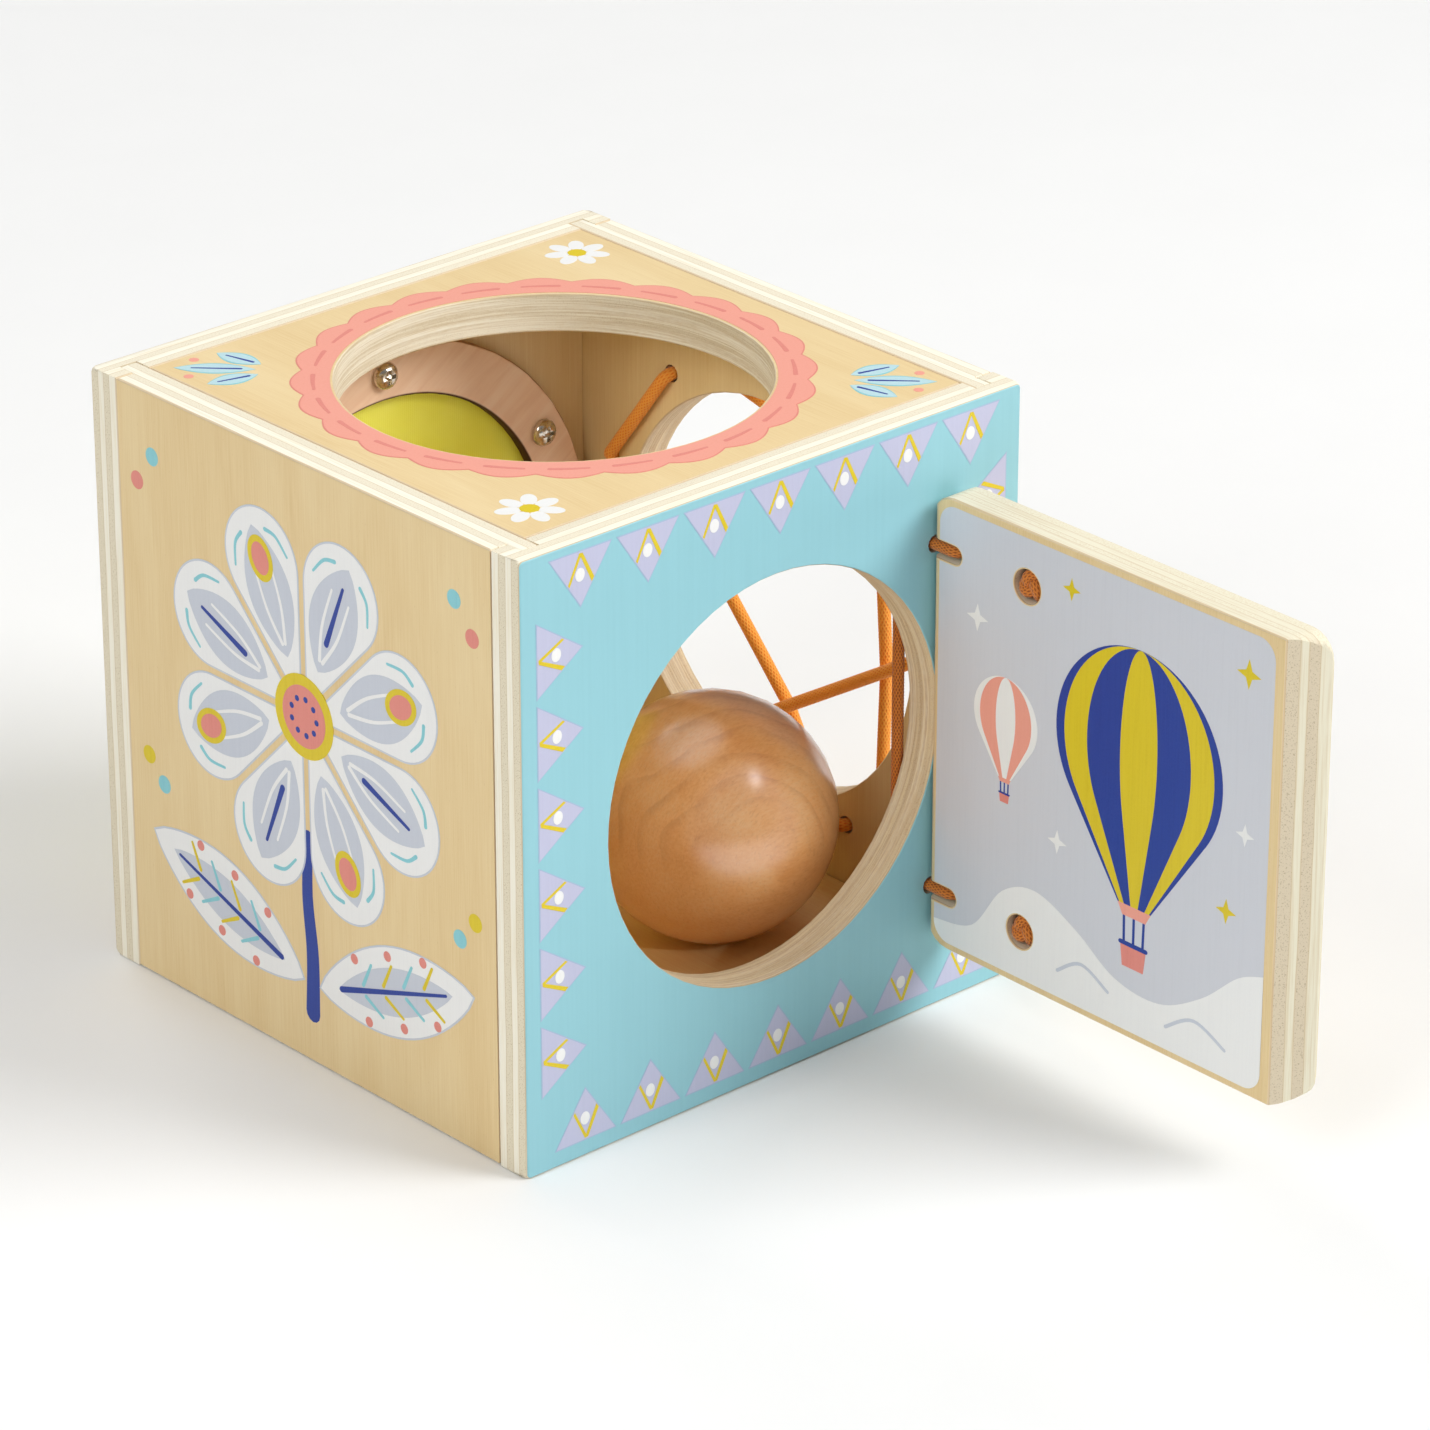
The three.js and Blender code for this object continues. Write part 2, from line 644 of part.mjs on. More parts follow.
const ballRadius = BALL_DIAMETER / 2;
const ball = add(cube, "ball", new THREE.SphereGeometry(ballRadius, BALL_STEPS, BALL_STEPS / 2), ballWood);
ball.position.set(
  INNER_FACE - BALL_FROM_RIGHT,
  BALL_FROM_FRONT - INNER_FACE,
  PLY_THICKNESS + BALL_FLOOR_GAP + ballRadius,
);

export default cube;
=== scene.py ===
"""Looks of a wooden activity cube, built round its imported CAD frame.

The panels, the door, the ball, the clamp ring and the screws are the CAD solids, each with its own finish.
The elastic cords and the fabric window are modelled here, and the prints are thin films of ink on the wood.
Lengths are millimetres, as in the CAD, until a mesh is made; Blender's own unit is the metre.
"""

import json
import logging
import math
from collections.abc import Iterable, Sequence
from dataclasses import dataclass, field
from enum import Enum

import bmesh
import bpy
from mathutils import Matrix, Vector
from mathutils.geometry import tessellate_polygon

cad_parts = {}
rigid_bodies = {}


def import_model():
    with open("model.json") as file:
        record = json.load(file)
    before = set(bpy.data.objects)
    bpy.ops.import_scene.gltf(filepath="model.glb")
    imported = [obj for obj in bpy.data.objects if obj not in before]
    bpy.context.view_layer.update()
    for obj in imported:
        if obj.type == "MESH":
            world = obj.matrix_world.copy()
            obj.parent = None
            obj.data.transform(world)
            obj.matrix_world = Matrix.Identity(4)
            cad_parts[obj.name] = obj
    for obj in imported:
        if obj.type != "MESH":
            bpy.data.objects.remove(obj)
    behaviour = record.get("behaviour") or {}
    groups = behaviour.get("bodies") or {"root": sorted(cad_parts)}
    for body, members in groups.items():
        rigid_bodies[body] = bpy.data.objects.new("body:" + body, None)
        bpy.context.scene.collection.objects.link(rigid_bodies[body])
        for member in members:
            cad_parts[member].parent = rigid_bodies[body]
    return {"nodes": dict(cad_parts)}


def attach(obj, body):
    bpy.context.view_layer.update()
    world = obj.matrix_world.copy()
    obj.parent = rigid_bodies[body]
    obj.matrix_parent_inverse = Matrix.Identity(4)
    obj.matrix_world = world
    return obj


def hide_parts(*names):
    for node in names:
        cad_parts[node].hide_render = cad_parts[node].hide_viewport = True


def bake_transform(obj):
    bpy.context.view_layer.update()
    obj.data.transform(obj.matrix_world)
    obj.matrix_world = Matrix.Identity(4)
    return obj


for leftover in list(bpy.data.objects):
    bpy.data.objects.remove(leftover)
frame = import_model()

Colour = tuple[float, float, float, float]
Point = tuple[float, float]
Loop = list[Point]
Socket = bpy.types.NodeSocket

LOG = logging.getLogger("activity_cube")
MILLIMETRE = 0.001

CUBE_EDGE = 140.0
PLY_THICKNESS = 9.0
OPENING_RADIUS = 46.8
HALF_EDGE = CUBE_EDGE / 2
INNER_FACE = HALF_EDGE - PLY_THICKNESS
MID_HEIGHT = CUBE_EDGE / 2
HINGE_CORD_HEIGHTS = (29.7, 110.3)


class Axis(Enum):
    """An axis of the shared frame, by its place in a vector."""

    X = 0
    Y = 1
    Z = 2


class Body(str, Enum):
    """A body of the CAD frame that modelled pieces ride on."""

    CUBE = "cube"
    DOOR = "door"


def tone(red: int, green: int, blue: int) -> Colour:
    """Turns a screen colour into Blender's linear colour.

    Args:
        red: Red from 0 to 255.
        green: Green from 0 to 255.
        blue: Blue from 0 to 255.

    Returns:
        The linear colour with full alpha.
    """

    def linear(level: int) -> float:
        """One channel from screen to linear."""
        share = level / 255
        return share / 12.92 if share <= 0.04045 else ((share + 0.055) / 1.055) ** 2.4

    return linear(red), linear(green), linear(blue), 1.0


# Finishes


class FinishGraph:
    """A material's node tree, with short calls for the nodes that the finishes share."""

    def __init__(self, name: str) -> None:
        """Starts a material with one Principled shader.

        Args:
            name: The material's name.
        """
        self.material = bpy.data.materials.new(name)
        self.material.use_nodes = True
        self.tree = self.material.node_tree
        self.tree.nodes.clear()
        output = self.add("ShaderNodeOutputMaterial")
        self.shader = self.add("ShaderNodeBsdfPrincipled")
        self.tree.links.new(self.shader.outputs["BSDF"], output.inputs["Surface"])
        self.coordinates = self.add("ShaderNodeTexCoord")

    def add(self, kind: str, **settings: object) -> bpy.types.Node:
        """Adds a node.

        Args:
            kind: Blender's name of the node type.
            **settings: Properties to set on it.

        Returns:
            The new node.
        """
        node = self.tree.nodes.new(kind)
        for key, value in settings.items():
            setattr(node, key, value)
        return node

    def feed(self, socket: Socket, value: object) -> None:
        """Links a socket to another one, or sets its constant.

        Args:
            socket: The input to feed.
            value: A socket to link, or a number, vector or colour.
        """
        if isinstance(value, bpy.types.NodeSocket):
            self.tree.links.new(value, socket)
        else:
            socket.default_value = value

    def math(self, operation: str, *values: object) -> Socket:
        """A Math node.

        Args:
            operation: The node's operation.
            *values: Its inputs in order, as sockets or numbers.

        Returns:
            The result.
        """
        node = self.add("ShaderNodeMath", operation=operation)
        for socket, value in zip(node.inputs, values):
            self.feed(socket, value)
        return node.outputs[0]

    def weighted(self, first: Socket, first_share: float, second: Socket, second_share: float) -> Socket:
        """The sum of two numbers, each times its own share."""
        parts = self.math("MULTIPLY", first, first_share), self.math("MULTIPLY", second, second_share)
        return self.math("ADD", *parts)

    def vector(self, operation: str, *values: object) -> Socket:
        """A Vector Math node.

        Args:
            operation: The node's operation.
            *values: Its inputs in order, as sockets or vectors.

        Returns:
            The resulting vector, or the number for a length.
        """
        node = self.add("ShaderNodeVectorMath", operation=operation)
        for socket, value in zip(node.inputs, values):
            self.feed(socket, value)
        return node.outputs["Value" if operation == "LENGTH" else "Vector"]

    def place(self) -> Socket:
        """The point on the piece at rest, in millimetres of the shared frame."""
        return self.vector("MULTIPLY", self.coordinates.outputs["Object"], (1 / MILLIMETRE,) * 3)

    def split(self, vector: Socket) -> tuple[Socket, Socket, Socket]:
        """Splits a vector.

        Args:
            vector: The vector.

        Returns:
            Its X, Y and Z.
        """
        node = self.add("ShaderNodeSeparateXYZ")
        self.feed(node.inputs[0], vector)
        return node.outputs[0], node.outputs[1], node.outputs[2]

    def stretched(self, vector: Socket, scales: Sequence[float]) -> Socket:
        """A vector with each component times its own scale."""
        return self.vector("MULTIPLY", vector, tuple(scales))

    def noise(
        self,
        place: Socket,
        scales: Sequence[float],
        detail: float = 2.0,
        roughness: float = 0.5,
        distortion: float = 0.0,
    ) -> Socket:
        """Soft noise from 0 to 1.

        Args:
            place: Where to read it.
            scales: About how many blots there are to a millimetre along each axis.
            detail: Number of finer layers.
            roughness: Strength of the finer layers.
            distortion: How far it is swirled.

        Returns:
            The noise value.
        """
        node = self.add("ShaderNodeTexNoise")
        self.feed(node.inputs["Vector"], self.stretched(place, scales))
        node.inputs["Scale"].default_value = 1.0
        node.inputs["Detail"].default_value = detail
        node.inputs["Roughness"].default_value = roughness
        node.inputs["Distortion"].default_value = distortion
        return node.outputs["Fac"]

    def band(self, value: object, low: float, high: float, first: float = 0.0, last: float = 1.0) -> Socket:
        """A smooth step from first to last as value goes from low to high.

        Args:
            value: The number to read.
            low: Where the step starts.
            high: Where it ends.
            first: The result up to low.
            last: The result from high on.

        Returns:
            The stepped number.
        """
        node = self.add("ShaderNodeMapRange", interpolation_type="SMOOTHSTEP")
        for key, number in (
            ("Value", value),
            ("From Min", low),
            ("From Max", high),
            ("To Min", first),
            ("To Max", last),
        ):
            self.feed(node.inputs[key], number)
        return node.outputs["Result"]

    def mix(self, share: object, first: object, second: object) -> Socket:
        """A colour between two.

        Args:
            share: From 0 for the first to 1 for the second.
            first: The first colour.
            second: The second colour.

        Returns:
            The mixed colour.
        """
        node = self.add("ShaderNodeMix", data_type="RGBA")
        for index, value in ((0, share), (6, first), (7, second)):
            self.feed(node.inputs[index], value)
        return node.outputs[2]

    def between(self, share: object, first: object, second: object) -> Socket:
        """A number between two.

        Args:
            share: From 0 for the first to 1 for the second.
            first: The first number.
            second: The second number.

        Returns:
            The number in between.
        """
        node = self.add("ShaderNodeMix", data_type="FLOAT")
        for index, value in ((0, share), (2, first), (3, second)):
            self.feed(node.inputs[index], value)
        return node.outputs[0]

    def ramp(self, value: Socket, stops: Sequence[tuple[float, Colour]]) -> Socket:
        """A colour read off a ramp.

        Args:
            value: Where to read it.
            stops: Positions and colours in order.

        Returns:
            The colour.
        """
        node = self.add("ShaderNodeValToRGB")
        elements = node.color_ramp.elements
        while len(elements) < len(stops):
            elements.new(1.0)
        for element, (position, colour) in zip(elements, stops):
            element.position = position
            element.color = colour
        self.feed(node.inputs[0], value)
        return node.outputs[0]

    def relief(self, height: Socket, depth: float, strength: float) -> None:
        """Gives the shader a bump.

        Args:
            height: The height from 0 to 1.
            depth: The height's size in millimetres.
            strength: How strongly it shows, from 0 to 1.
        """
        node = self.add("ShaderNodeBump")
        node.inputs["Strength"].default_value = strength
        node.inputs["Distance"].default_value = depth * MILLIMETRE
        self.feed(node.inputs["Height"], height)
        self.feed(self.shader.inputs["Normal"], node.outputs["Normal"])

    def surface(self, colour: object, roughness: object, **constants: object) -> bpy.types.Material:
        """Feeds the shader and returns the material.

        Args:
            colour: The base colour.
            roughness: The roughness.
            **constants: Other shader inputs, by name with underscores for spaces.

        Returns:
            The finished material.
        """
        self.feed(self.shader.inputs["Base Color"], colour)
        self.feed(self.shader.inputs["Roughness"], roughness)
        for key, value in constants.items():
            self.shader.inputs[key.replace("_", " ")].default_value = value
        return self.material


@dataclass(frozen=True)
class Paint:
    """Paint on a panel's outer face, a little darker along the grain."""

    colour: Colour
    shaded: Colour
    reach: float = 0.32
    fade: float = 0.06
    roughness: float = 0.42


@dataclass(frozen=True)
class Plywood:
    """Plywood of one panel: veneer on both faces and plies of crossed grain along its edges."""

    name: str
    through: Axis
    outer: float
    inner: float
    grain: Axis
    paint: Paint | None = None
    bore: tuple[float, float, float] | None = None
    joints: tuple[float, ...] = (0.4, 2.5, 4.4, 6.4)
    light: Colour = tone(240, 219, 173)
    middle: Colour = tone(232, 206, 155)
    dark: Colour = tone(221, 190, 135)
    fleck: Colour = tone(190, 152, 102)
    long_grain: Colour = tone(249, 244, 227)
    long_streak: Colour = tone(241, 231, 206)
    end_grain: Colour = tone(231, 221, 196)
    end_pit: Colour = tone(196, 179, 145)
    glue: Colour = tone(203, 180, 140)
    skin: Colour = tone(210, 178, 132)
    routed: Colour = tone(236, 214, 172)
    scored: Colour = tone(200, 166, 118)
    face_ply_end: float = 0.6
    wall_fade: tuple[float, float] = (0.5, 0.9)

    @property
    def cross(self) -> Axis:
        """The axis across the face grain."""
        return next(axis for axis in Axis if axis not in (self.through, self.grain))

    @property
    def thickness(self) -> float:
        """The panel's thickness."""
        return abs(self.inner - self.outer)

    def scales(self, fibre: Axis, along: float, across: float) -> tuple[float, ...]:
        """Noise scales for fibres that run along one axis."""
        return tuple(along if axis is fibre else across for axis in Axis)

    def veneer(self, graph: FinishGraph, place: Socket) -> tuple[Socket, Socket]:
        """Draws the rotary-cut face veneer.

        Args:
            graph: The material's graph.
            place: The point on the piece.

        Returns:
            Its colour and its height.
        """
        fibres = graph.noise(place, self.scales(self.grain, 0.05, 3.4), detail=3.0, roughness=0.65)
        figure = graph.noise(place, self.scales(self.grain, 0.012, 0.06), distortion=1.2)
        dashes = graph.noise(place, self.scales(self.grain, 0.9, 5.0), detail=1.0)
        shade = graph.weighted(fibres, 0.55, figure, 0.45)
        ground = graph.ramp(shade, ((0.22, self.dark), (0.5, self.middle), (0.78, self.light)))
        flecked = graph.mix(graph.band(dashes, 0.68, 0.82, first=0.0, last=0.35), ground, self.fleck)
        return flecked, fibres

    def bored(self, graph: FinishGraph, place: Socket) -> object:
        """Finds the wall of the panel's opening.

        Args:
            graph: The material's graph.
            place: The point on the piece.

        Returns:
            How much of the point is on that wall, from 0 to 1.
        """
        if self.bore is None:
            return 0.0
        spoke = graph.vector("SUBTRACT", place, self.bore)
        flat = graph.stretched(spoke, tuple(0.0 if axis is self.through else 1.0 for axis in Axis))
        past = graph.math("SUBTRACT", graph.vector("LENGTH", flat), OPENING_RADIUS)
        return graph.band(past, *self.wall_fade, first=1.0, last=0.0)

    def layers(self, graph: FinishGraph, depth: Socket) -> tuple[object, object]:
        """Finds the ply of a point on the panel's edge.

        Args:
            graph: The material's graph.
            depth: The point's depth below the outer face.

        Returns:
            1 in a ply of crossed grain and 0 in the others, and the distance from the nearest glue line.
        """
        crossed: object = 0.0
        nearest: object = self.thickness
        for joint in reversed(self.joints):
            past = graph.math("SUBTRACT", depth, joint)
            crossed = graph.math("SUBTRACT", graph.math("GREATER_THAN", past, 0.0), crossed)
            nearest = graph.math("MINIMUM", nearest, graph.math("ABSOLUTE", past))
        return crossed, nearest

    def edge(
        self, graph: FinishGraph, place: Socket, depth: Socket, from_face: Socket
    ) -> tuple[Socket, Socket]:
        """Draws the plies on the panel's edges, long grain next to end grain under a thin veneer.

        Args:
            graph: The material's graph.
            place: The point on the piece.
            depth: Its depth below the outer face.
            from_face: Its depth below the nearer face.

        Returns:
            Its colour and its height.
        """
        sway = graph.noise(place, (0.05,) * 3, detail=1.0)
        swayed = graph.math("ADD", depth, graph.math("MULTIPLY", graph.math("SUBTRACT", sway, 0.5), 0.5))
        turned, from_glue = self.layers(graph, swayed)

        facing = graph.split(graph.coordinates.outputs["Normal"])
        on_grain = graph.math("ABSOLUTE", facing[self.grain.value])
        on_cross = graph.math("ABSOLUTE", facing[self.cross.value])
        on_end = graph.between(turned, graph.math("MULTIPLY", on_grain, self.face_ply_end), on_cross)
        endness = graph.band(on_end, 0.1, 0.9)
        along = graph.noise(place, self.scales(self.grain, 0.05, 2.4), detail=3.0, roughness=0.65)
        across = graph.noise(place, self.scales(self.cross, 0.05, 2.4), detail=3.0, roughness=0.65)
        streak = graph.between(turned, along, across)
        pits = graph.noise(place, (3.4,) * 3, detail=1.0)

        smooth = graph.mix(graph.band(streak, 0.42, 0.7), self.long_grain, self.long_streak)
        rough = graph.mix(graph.band(pits, 0.55, 0.74), self.end_grain, self.end_pit)
        wood = graph.mix(endness, smooth, rough)
        lined = graph.mix(graph.band(from_glue, 0.04, 0.14, first=0.6, last=0.0), wood, self.glue)
        skinned = graph.mix(graph.band(from_face, 0.3, 0.55, first=0.6, last=0.0), lined, self.skin)
        fuzz = graph.noise(place, self.scales(self.through, 2.6, 0.5), detail=3.0, roughness=0.7)
        lines = graph.noise(place, self.scales(self.through, 2.6, 0.03), detail=3.0, roughness=0.65)
        ploughed = graph.mix(graph.band(lines, 0.4, 0.62), self.scored, self.routed)
        wall = graph.mix(graph.band(fuzz, 0.3, 0.75, first=0.7, last=0.4), skinned, ploughed)
        return graph.mix(self.bored(graph, place), skinned, wall), graph.between(endness, streak, pits)

    def material(self) -> bpy.types.Material:
        """Builds the material.

        Returns:
            The panel's plywood, painted where it has paint.
        """
        graph = FinishGraph(self.name)
        place = graph.place()
        inward = 1.0 if self.inner > self.outer else -1.0
        offset = graph.math("SUBTRACT", graph.split(place)[self.through.value], self.outer)
        depth = graph.math("MULTIPLY", offset, inward)
        from_face = graph.math("MINIMUM", depth, graph.math("SUBTRACT", self.thickness, depth))
        on_face = graph.band(from_face, 0.02, 0.14, first=1.0, last=0.0)

        face_colour, face_height = self.veneer(graph, place)
        edge_colour, edge_height = self.edge(graph, place, depth, from_face)
        colour = graph.mix(on_face, edge_colour, face_colour)
        height = graph.between(on_face, edge_height, graph.math("MULTIPLY", face_height, 0.5))
        roughness = graph.between(on_face, 0.74, 0.5)
        if self.paint is not None:
            reach, fade = self.paint.reach, self.paint.fade
            painted = graph.band(depth, reach - fade, reach, first=1.0, last=0.0)
            drawn = graph.noise(place, self.scales(self.grain, 0.02, 0.9), detail=3.0, roughness=0.6)
            film = graph.mix(graph.band(drawn, 0.35, 0.72), self.paint.colour, self.paint.shaded)
            colour = graph.mix(painted, colour, film)
            roughness = graph.between(painted, roughness, self.paint.roughness)
            height = graph.between(painted, height, graph.math("MULTIPLY", drawn, 0.12))
        graph.relief(height, depth=0.12, strength=0.35)
        return graph.surface(colour, roughness, Specular_IOR_Level=0.35)


@dataclass(frozen=True)
class RingVeneer:
    """Thin laser-cut plywood of the clamp ring, scorched in its bore and darkened there further as painted
    shade.
    """

    bore: float
    grain: tuple[float, float] = (0.82, 0.57)
    scorch_and_shade_fade: tuple[float, float] = (0.25, 0.7)
    light: Colour = tone(250, 219, 190)
    middle: Colour = tone(245, 209, 177)
    dark: Colour = tone(236, 195, 161)
    scorch_and_shade: Colour = tone(74, 46, 26)
    rim: Colour = tone(190, 146, 110)

    def material(self) -> bpy.types.Material:
        """Builds the material.

        Returns:
            The ring's veneer with its bore scorched and darkened as painted shade.
        """
        graph = FinishGraph("clamp_ring_veneer")
        place = graph.place()
        x, _, z = graph.split(place)
        rise = graph.math("SUBTRACT", z, MID_HEIGHT)
        run, climb = self.grain
        joined = graph.add("ShaderNodeCombineXYZ")
        graph.feed(joined.inputs[0], graph.weighted(x, run, rise, climb))
        graph.feed(joined.inputs[1], graph.weighted(rise, run, x, -climb))
        fibres = graph.noise(
            joined.outputs[0], (0.025, 0.24, 1.0), detail=4.0, roughness=0.6, distortion=0.7
        )
        veneer = graph.ramp(fibres, ((0.3, self.dark), (0.5, self.middle), (0.68, self.light)))
        squares = graph.math("ADD", graph.math("POWER", x, 2.0), graph.math("POWER", rise, 2.0))
        past_bore = graph.math("SUBTRACT", graph.math("SQRT", squares), self.bore)
        facing = graph.math("ABSOLUTE", graph.split(graph.coordinates.outputs["Normal"])[Axis.Y.value])
        edged = graph.mix(graph.band(facing, 0.5, 0.8), self.rim, veneer)
        # Near the bore: the laser cut's scorch, deepened as painted shade on the bore wall.
        burnt_and_shaded = graph.band(past_bore, *self.scorch_and_shade_fade, first=1.0, last=0.0)
        graph.relief(fibres, depth=0.1, strength=0.3)
        return graph.surface(graph.mix(burnt_and_shaded, edged, self.scorch_and_shade), roughness=0.62, Specular_IOR_Level=0.3)


@dataclass(frozen=True)
class TurnedWood:
    """Varnished solid wood of the ball, with the arched growth rings of a turned piece."""

    centre: tuple[float, float, float]
    pith: tuple[float, float, float] = (-9.0, -26.0, 3.0)
    ring_width: float = 4.4
    ring_squash: tuple[float, float, float] = (0.9, 0.75, 1.05)
    late_start: float = 0.55
    late_end: float = 0.92
    ring_reach: tuple[float, float] = (8.0, 16.0)
    ring_height: tuple[float, float] = (-6.0, 8.0)
    light: Colour = tone(255, 203, 144)
    middle: Colour = tone(252, 187, 121)
    dark: Colour = tone(240, 164, 95)
    ring_line: Colour = tone(178, 82, 38)

    def material(self) -> bpy.types.Material:
        """Builds the material.

        Returns:
            The ball's wood under its satin varnish.
        """
        graph = FinishGraph("ball_turned_wood")
        local = graph.vector("SUBTRACT", graph.place(), self.centre)
        drift = graph.noise(local, (0.045, 0.04, 0.045), detail=1.0)
        from_pith = graph.vector("SUBTRACT", local, self.pith)
        reach = graph.vector("LENGTH", graph.stretched(from_pith, self.ring_squash))
        waver = graph.noise(local, (0.2,) * 3)
        swing = graph.weighted(drift, 9.0, waver, 1.2)
        grown = graph.math("ADD", reach, swing)
        phase = graph.math("FRACT", graph.math("DIVIDE", grown, self.ring_width))
        darkens = graph.band(phase, self.late_start, self.late_end)
        late = graph.math("MULTIPLY", darkens, graph.band(phase, self.late_end, 1.0, first=1.0, last=0.0))
        height = graph.split(local)[Axis.Z.value]
        clear = graph.band(reach, *self.ring_reach)
        seen = graph.math("MULTIPLY", clear, graph.band(height, *self.ring_height))
        line = graph.math("MULTIPLY", late, seen)
        fibres = graph.noise(local, (0.5, 1.7, 1.7), detail=4.0, roughness=0.62, distortion=0.2)
        cloud = graph.noise(local, (0.07, 0.05, 0.06))
        shade = graph.weighted(fibres, 0.4, cloud, 0.6)
        ground = graph.ramp(shade, ((0.34, self.dark), (0.5, self.middle), (0.66, self.light)))
        pores = graph.noise(local, (0.9, 4.5, 1.1))
        drawn = graph.band(waver, 0.3, 0.65, first=0.08, last=0.24)
        ringed = graph.mix(graph.math("MULTIPLY", line, drawn), ground, self.ring_line)
        colour = graph.mix(graph.band(pores, 0.52, 0.72, first=0.0, last=0.16), ringed, self.ring_line)
        graph.relief(pores, depth=0.06, strength=0.2)
        roughness = graph.band(fibres, 0.3, 0.7, first=0.3, last=0.42)
        return graph.surface(
            colour,
            roughness,
            Coat_Weight=1.0,
            Coat_Roughness=0.24,
            Coat_IOR=2.0,
            Specular_IOR_Level=0.9,
        )


@dataclass(frozen=True)
class BraidedElastic:
    """Braided cover of the elastic cord, drawn along the cord by its own coordinates, with painted shade in
    the weave's valleys and a painted highlight on its ridges.
    """

    name: str
    lit_ridge: Colour
    shaded_valley: Colour
    strands: float = 12.0
    pitch: float = 1.5

    def material(self) -> bpy.types.Material:
        """Builds the material.

        Returns:
            The cord's braid.
        """
        graph = FinishGraph(self.name)
        own = graph.add("ShaderNodeAttribute", attribute_name="cord_place")
        turn, length, _ = graph.split(own.outputs["Vector"])
        round_it = graph.math("MULTIPLY", turn, self.strands)
        along_it = graph.math("DIVIDE", length, self.pitch)
        heights = []
        for operation in ("ADD", "SUBTRACT"):
            helix = graph.math("MULTIPLY", graph.math(operation, round_it, along_it), math.pi)
            heights.append(graph.math("ABSOLUTE", graph.math("SINE", helix)))
        weave = graph.math("MAXIMUM", heights[0], heights[1])
        fuzz = graph.noise(graph.place(), (2.2,) * 3, detail=3.0, roughness=0.7)
        height = graph.weighted(weave, 0.7, fuzz, 0.3)
        # Painted shade in the weave's valleys and a painted highlight on its ridges, mixed by the weave's
        # height.
        colour = graph.mix(graph.band(height, 0.5, 0.88), self.shaded_valley, self.lit_ridge)
        graph.relief(height, depth=0.35, strength=0.7)
        return graph.surface(
            colour, roughness=0.78, Sheen_Weight=0.25, Sheen_Roughness=0.4, Specular_IOR_Level=0.25
        )


@dataclass(frozen=True)
class StretchKnit:
    """Smooth stretch knit of the window, with fine ribs along its wales, painted darker between the ribs as
    shade.
    """

    light: Colour = tone(253, 249, 106)
    deep: Colour = tone(244, 239, 76)
    wale: float = 0.55
    course: float = 0.4

    def material(self) -> bpy.types.Material:
        """Builds the material.

        Returns:
            The window's knit.
        """
        graph = FinishGraph("window_stretch_knit")
        place = graph.place()
        x, _, z = graph.split(place)
        ribs = []
        for along, width in ((x, self.wale), (z, self.course)):
            turn = graph.math("MULTIPLY", along, math.pi / width)
            ribs.append(graph.math("ABSOLUTE", graph.math("SINE", turn)))
        knit = graph.weighted(ribs[0], 0.65, ribs[1], 0.35)
        cloud = graph.noise(place, (0.06,) * 3)
        shade = graph.weighted(knit, 0.35, cloud, 0.65)
        # Partly painted shade, darker between the knit's ribs, and partly random tone from the cloud.
        colour = graph.mix(graph.band(shade, 0.3, 0.75), self.deep, self.light)
        graph.relief(knit, depth=0.12, strength=0.3)
        return graph.surface(
            colour,
            roughness=0.62,
            Subsurface_Weight=0.6,
            Subsurface_Radius=(1.0, 1.0, 0.5),
            Subsurface_Scale=0.9 * MILLIMETRE,
            Sheen_Weight=0.35,
            Sheen_Roughness=0.35,
            Specular_IOR_Level=0.3,
        )


@dataclass(frozen=True)
class ScrewNickel:
    """Nickel plate of the screws, a little dulled."""

    bright: Colour = tone(226, 220, 208)
    dull: Colour = tone(176, 164, 144)

    def material(self) -> bpy.types.Material:
        """Builds the material.

        Returns:
            The screws' plating.
        """
        graph = FinishGraph("ring_screw_nickel")
        place = graph.place()
        film = graph.noise(place, (0.9,) * 3, detail=3.0, roughness=0.6)
        scratch = graph.noise(place, (6.0, 1.0, 1.2))
        graph.relief(scratch, depth=0.02, strength=0.15)
        colour = graph.mix(graph.band(film, 0.4, 0.75), self.bright, self.dull)
        return graph.surface(colour, graph.band(film, 0.3, 0.8, first=0.16, last=0.34), Metallic=1.0)


class Ink(Enum):
    """A printing ink: its colour, and the colour where the wood's grain thins it."""

    LILAC = (tone(193, 194, 219), tone(188, 189, 214))
    LILAC_LINE = (tone(166, 188, 213), tone(160, 183, 209))
    CLOUD_BLUE = (tone(210, 212, 219), tone(206, 208, 215))
    OFF_WHITE = (tone(240, 240, 238), tone(235, 235, 234))
    GREY = (tone(202, 207, 217), tone(197, 202, 213))
    NAVY = (tone(40, 66, 154), tone(34, 58, 142))
    MUSTARD = (tone(224, 200, 40), tone(214, 188, 30))
    CORAL = (tone(241, 165, 147), tone(237, 158, 140))
    DEEP_CORAL = (tone(228, 142, 130), tone(220, 132, 120))
    TURQUOISE = (tone(140, 206, 214), tone(128, 196, 206))
    PALE_BLUE = (tone(190, 222, 228), tone(180, 214, 221))

    def material(self) -> bpy.types.Material:
        """The ink's material, made once.

        Returns:
            The ink over the wood's faint grain.
        """
        name = f"ink_{self.name.lower()}"
        made = bpy.data.materials.get(name)
        if made is not None:
            return made
        full, thin = self.value
        graph = FinishGraph(name)
        place = graph.place()
        grain = graph.noise(place, (1.6, 1.6, 0.05), detail=3.0, roughness=0.6)
        speck = graph.noise(place, (2.8,) * 3)
        cover = graph.weighted(grain, 0.7, speck, 0.3)
        graph.relief(grain, depth=0.05, strength=0.1)
        colour = graph.mix(graph.band(cover, 0.42, 0.72, first=0.0, last=0.6), full, thin)
        roughness = graph.band(speck, 0.3, 0.7, first=0.4, last=0.5)
        return graph.surface(colour, roughness, Specular_IOR_Level=0.35)


# Meshes


